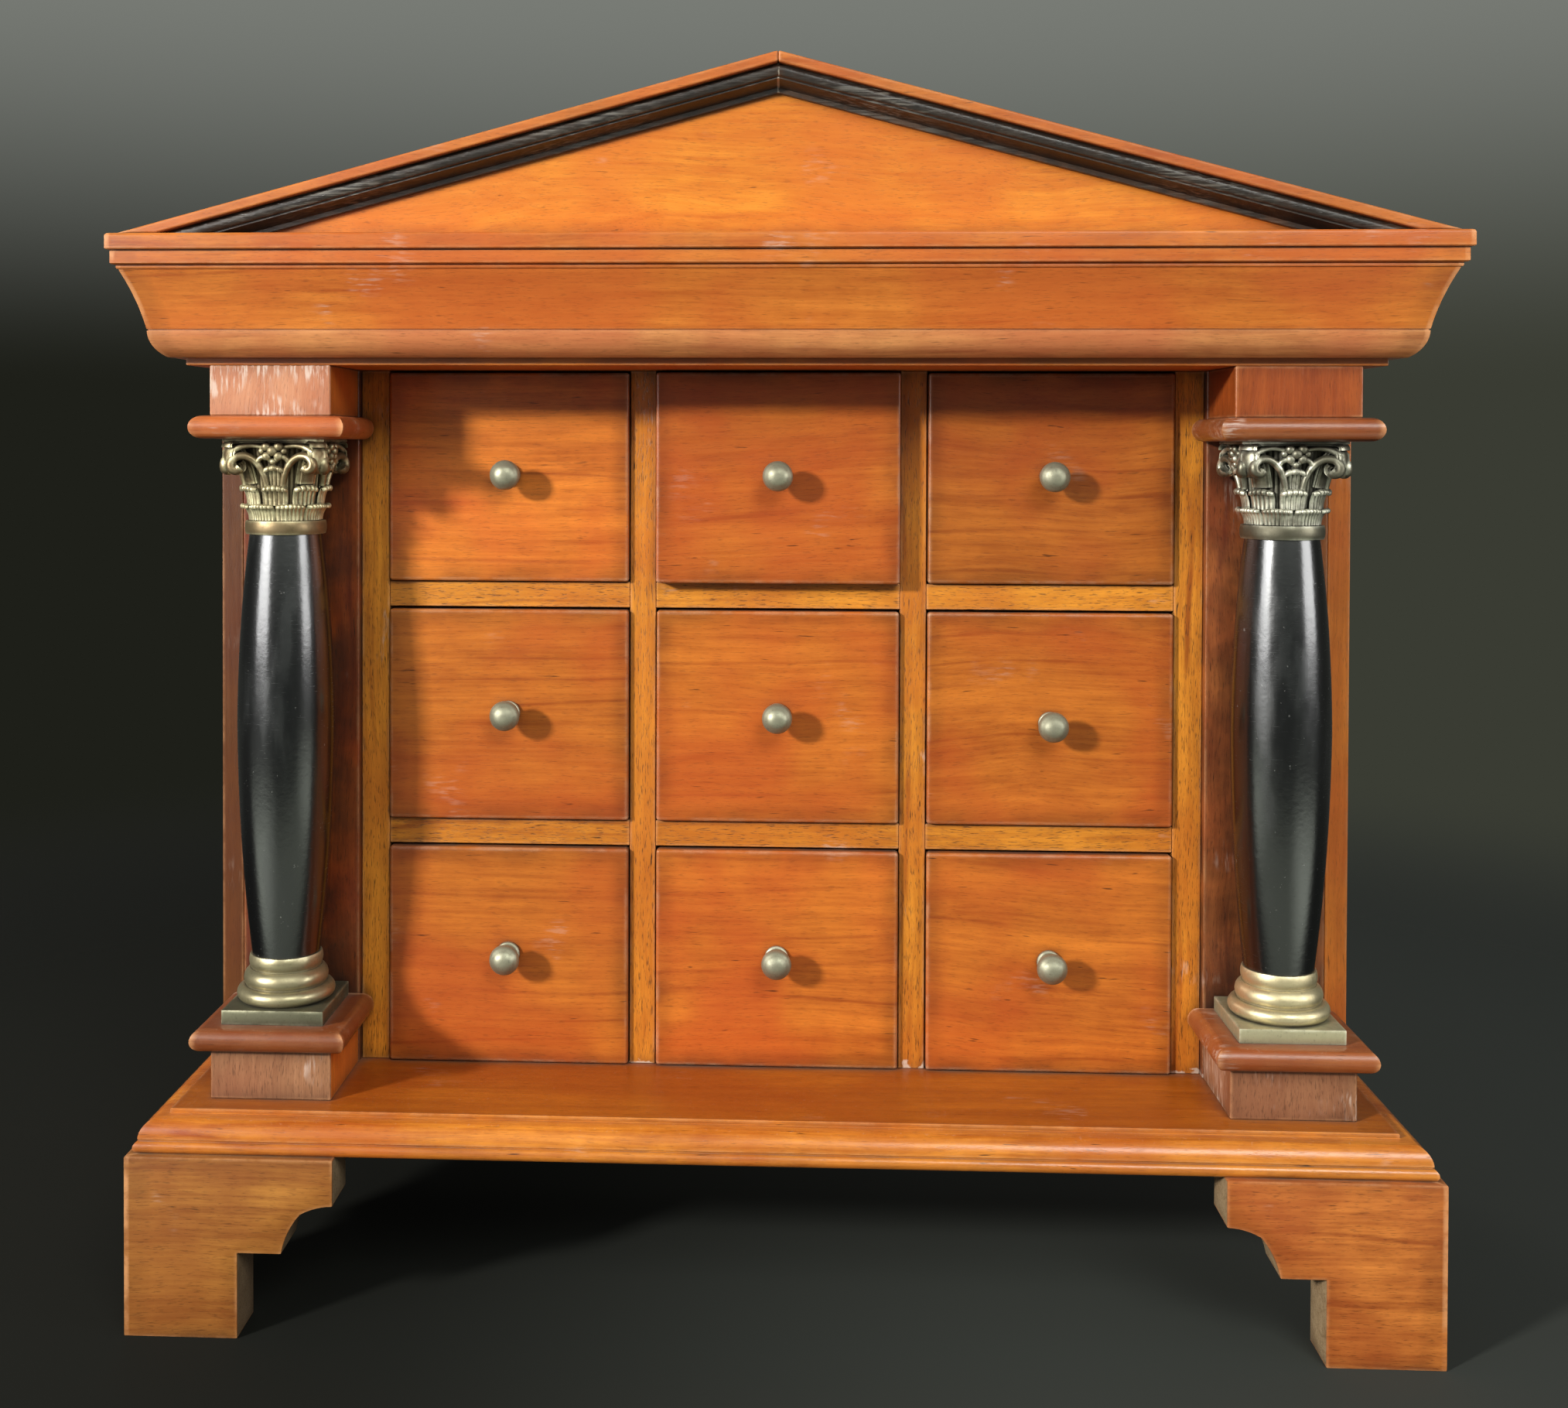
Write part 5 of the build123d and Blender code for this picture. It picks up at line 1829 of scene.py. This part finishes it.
@dataclass
class Studio:
    """Dark floor, soft lights and the camera at the photograph's place."""

    camera_place: Point = (5.09 * MM, -813.2 * MM, 358.6 * MM)
    yaw: float = -0.04752
    tilt: float = 0.015933
    roll: float = 0.002786
    focal_pixels: float = 2276.8
    sensor_width: float = 36.0
    principal: Pair = (912.74, 611.98)
    floor_low: Point = (-3, -3, -0.02)
    floor_high: Point = (3, 3, 0.0)
    floor_dark: Colour = tone(24, 25, 21)
    floor_pale: Colour = tone(58, 61, 57)
    backdrop: Colour = tone(74, 76, 71)
    backdrop_shaded_left: Colour = tone(30, 31, 25)
    backdrop_right: Colour = tone(58, 60, 51)
    backdrop_lit_top: Colour = tone(122, 125, 119)
    lit_table: Colour = (0.6, 0.66, 0.54)
    lit_ends: Colour = (1.9, 2.05, 1.75)
    lit_wall: Colour = (0.6, 0.64, 0.58)
    shade: Colour = (0.1, 0.11, 0.1)
    fade: Pair = (0.5, 1.3)
    ambient: float = 0.27
    ambient_colour: Colour = (0.95, 0.98, 1.0)
    aim: Point = (0.0, 0.0, 0.25)
    lamps: tuple[tuple[str, Point, float, float, Colour], ...] = (
        ("key", (-2.1, -1.96, 1.18), 0.28, 98.0, (1.0, 0.98, 0.93)),
        ("window", (0.86, -2.24, 1.95), 1.1, 38.0, (0.96, 1.0, 0.96)),
        ("rear", (-0.9, 1.9, 1.1), 0.6, 9.0, (1.0, 0.98, 0.95)))
    screens: tuple[tuple[str, Point, float, float], ...] = (
        ("screen_left", (-0.95, -0.8, 0.55), 0.6, 9.5),
        ("screen_right", (1.0, -0.55, 0.52), 0.52, 8.0))

    def floor(self) -> None:
        """Dark plain floor under the chest, which fades into the backdrop away from it; in reflections only,
        a strip of it in front glows as a painted reflection of a lit table.
        """
        form = bmesh.new()
        box_form(form, self.floor_low, self.floor_high)
        floor = piece_of("studio_floor", form)
        surface = Surface("floor_cloth")
        place = surface.place
        along, depth = place.part(0), place.part(1)
        surface.put(surface.shader.inputs["Base Color"],
                    surface.mix(along.ramp(-0.2, 0.15), self.floor_dark, self.floor_pale))
        surface.shader.inputs["Roughness"].default_value = 0.9
        surface.shader.inputs["Specular IOR Level"].default_value = 0.1
        # Painted reflection: in reflections only, a strip of floor in front glows like a lit table.
        strip = depth.ramp(-0.2, -0.34) * depth.ramp(-1.0, -0.6)
        mirrored = surface.value("ShaderNodeLightPath", output="Is Glossy Ray") * strip
        painted_reflection = surface.value("ShaderNodeEmission", {
            "Color": surface.mix(abs(along).ramp(0.25, 0.6), self.lit_table, self.lit_ends), "Strength": 1.0})
        cloth = surface.value("ShaderNodeMixShader", {
            0: mirrored, 1: Value(surface, surface.shader.outputs[0]), 2: painted_reflection})
        away = surface.value("ShaderNodeVectorMath", {0: place}, "Value", operation="LENGTH")
        both = surface.value("ShaderNodeMixShader", {
            0: away.ramp(*self.fade), 1: cloth, 2: surface.value("ShaderNodeBsdfTransparent")})
        surface.put(surface.tree.nodes["Material Output"].inputs["Surface"], both)
        floor.data.materials.append(surface.material)

    def world(self) -> None:
        """Charcoal backdrop behind, with painted shade on its left and painted light towards its top, and a
        lit room in front, as seen and reflected, with a gentle light.
        """
        world = bpy.data.worlds.new("studio")
        bpy.context.scene.world = world
        world.use_nodes = True
        graph = Graph(world.node_tree)
        world.node_tree.nodes.clear()
        way = graph.value("ShaderNodeTexCoord", output="Generated")
        across, depth, up = (way.part(axis) for axis in range(3))
        camera, glossy, clear = (graph.value("ShaderNodeLightPath", output=f"Is {ray} Ray")
                                 for ray in ("Camera", "Glossy", "Transmission"))
        room = graph.mix(up.ramp(0.0, 0.2), self.shade, self.lit_wall)
        scenery = graph.mix(depth.ramp(0.1, -0.5), self.backdrop, room)
        # Painted light on the backdrop: darker on the left and lighter towards the top.
        cloth = graph.mix(across.ramp(-0.25, 0.3), self.backdrop_shaded_left, self.backdrop_right)
        cloth = graph.mix(up.ramp(0.03, 0.27), cloth, self.backdrop_lit_top)
        scenery = graph.mix(camera, scenery, cloth)
        seen = camera.math("MAXIMUM", glossy).math("MAXIMUM", clear)
        plain = graph.value("ShaderNodeBackground", {"Color": self.ambient_colour, "Strength": self.ambient})
        backdrop = graph.value("ShaderNodeBackground", {"Color": scenery, "Strength": 1.0})
        both = graph.value("ShaderNodeMixShader", {0: seen, 1: plain, 2: backdrop})
        graph.node("ShaderNodeOutputWorld", {0: both})

    def lamp(self, name: str, place: Point, size: float, power: float) -> Piece:
        """Square area lamp aimed at the middle of the chest.

        Args:
            name: Name of the lamp.
            place: Where it stands.
            size: Length of a side.
            power: Power in watts.

        Returns:
            The lamp.
        """
        lamp = bpy.data.lights.new(name, "AREA")
        lamp.size = size
        lamp.energy = power
        made = add_object(f"lamp_{name}", lamp)
        made.location = place
        made.rotation_euler = (Vector(self.aim) - Vector(place)).to_track_quat("-Z", "Y").to_euler()
        return made

    def lights(self) -> None:
        """Lamps that light the chest, and screens that only its polished and metal parts reflect."""
        for name, place, size, power, colour in self.lamps:
            lamp = self.lamp(name, place, size, power)
            lamp.data.color = colour
            lamp.visible_glossy = name != "rear"
        for name, place, size, radiance in self.screens:
            screen = self.lamp(name, place, size, radiance * math.pi * size ** 2)
            screen.visible_diffuse = False
            screen.visible_camera = False

    def camera(self) -> None:
        """Camera at the photograph's place, with its lens and framing."""
        forward = Vector((math.sin(self.yaw) * math.cos(self.tilt), math.cos(self.yaw) * math.cos(self.tilt),
                          -math.sin(self.tilt)))
        right = forward.cross(Vector((0, 0, 1))).normalized()
        turn = Matrix((right, right.cross(forward), -forward)).transposed()
        turn = Matrix.Rotation(-self.roll, 3, forward) @ turn
        lens = bpy.data.cameras.new("camera")
        lens.sensor_width = self.sensor_width
        lens.lens = self.sensor_width * self.focal_pixels / PHOTO_WIDTH
        lens.shift_x = (PHOTO_WIDTH / 2 - self.principal[0]) / PHOTO_WIDTH
        lens.shift_y = (self.principal[1] - PHOTO_HEIGHT / 2) / PHOTO_WIDTH
        lens.clip_start = 0.01
        camera = add_object("camera", lens)
        camera.matrix_world = Matrix.Translation(self.camera_place) @ turn.to_4x4()
        bpy.context.scene.camera = camera

    def build(self) -> None:
        """Set up the studio."""
        bpy.context.scene.view_settings.view_transform = "Standard"
        self.floor()
        self.world()
        self.lights()
        self.camera()


def main() -> None:
    """Build the chest's pieces in order, then the studio round it."""
    for assembly in (BaseBoard(), Feet(), CaseBoards(), Pedestals(), BrassBase(), Shaft(), Capital(),
                     Cornice(), Pediment(), Drawers(), Studio()):
        LOG.info("building %s", type(assembly).__name__)
        assembly.build()


if __name__ == "__main__":
    main()
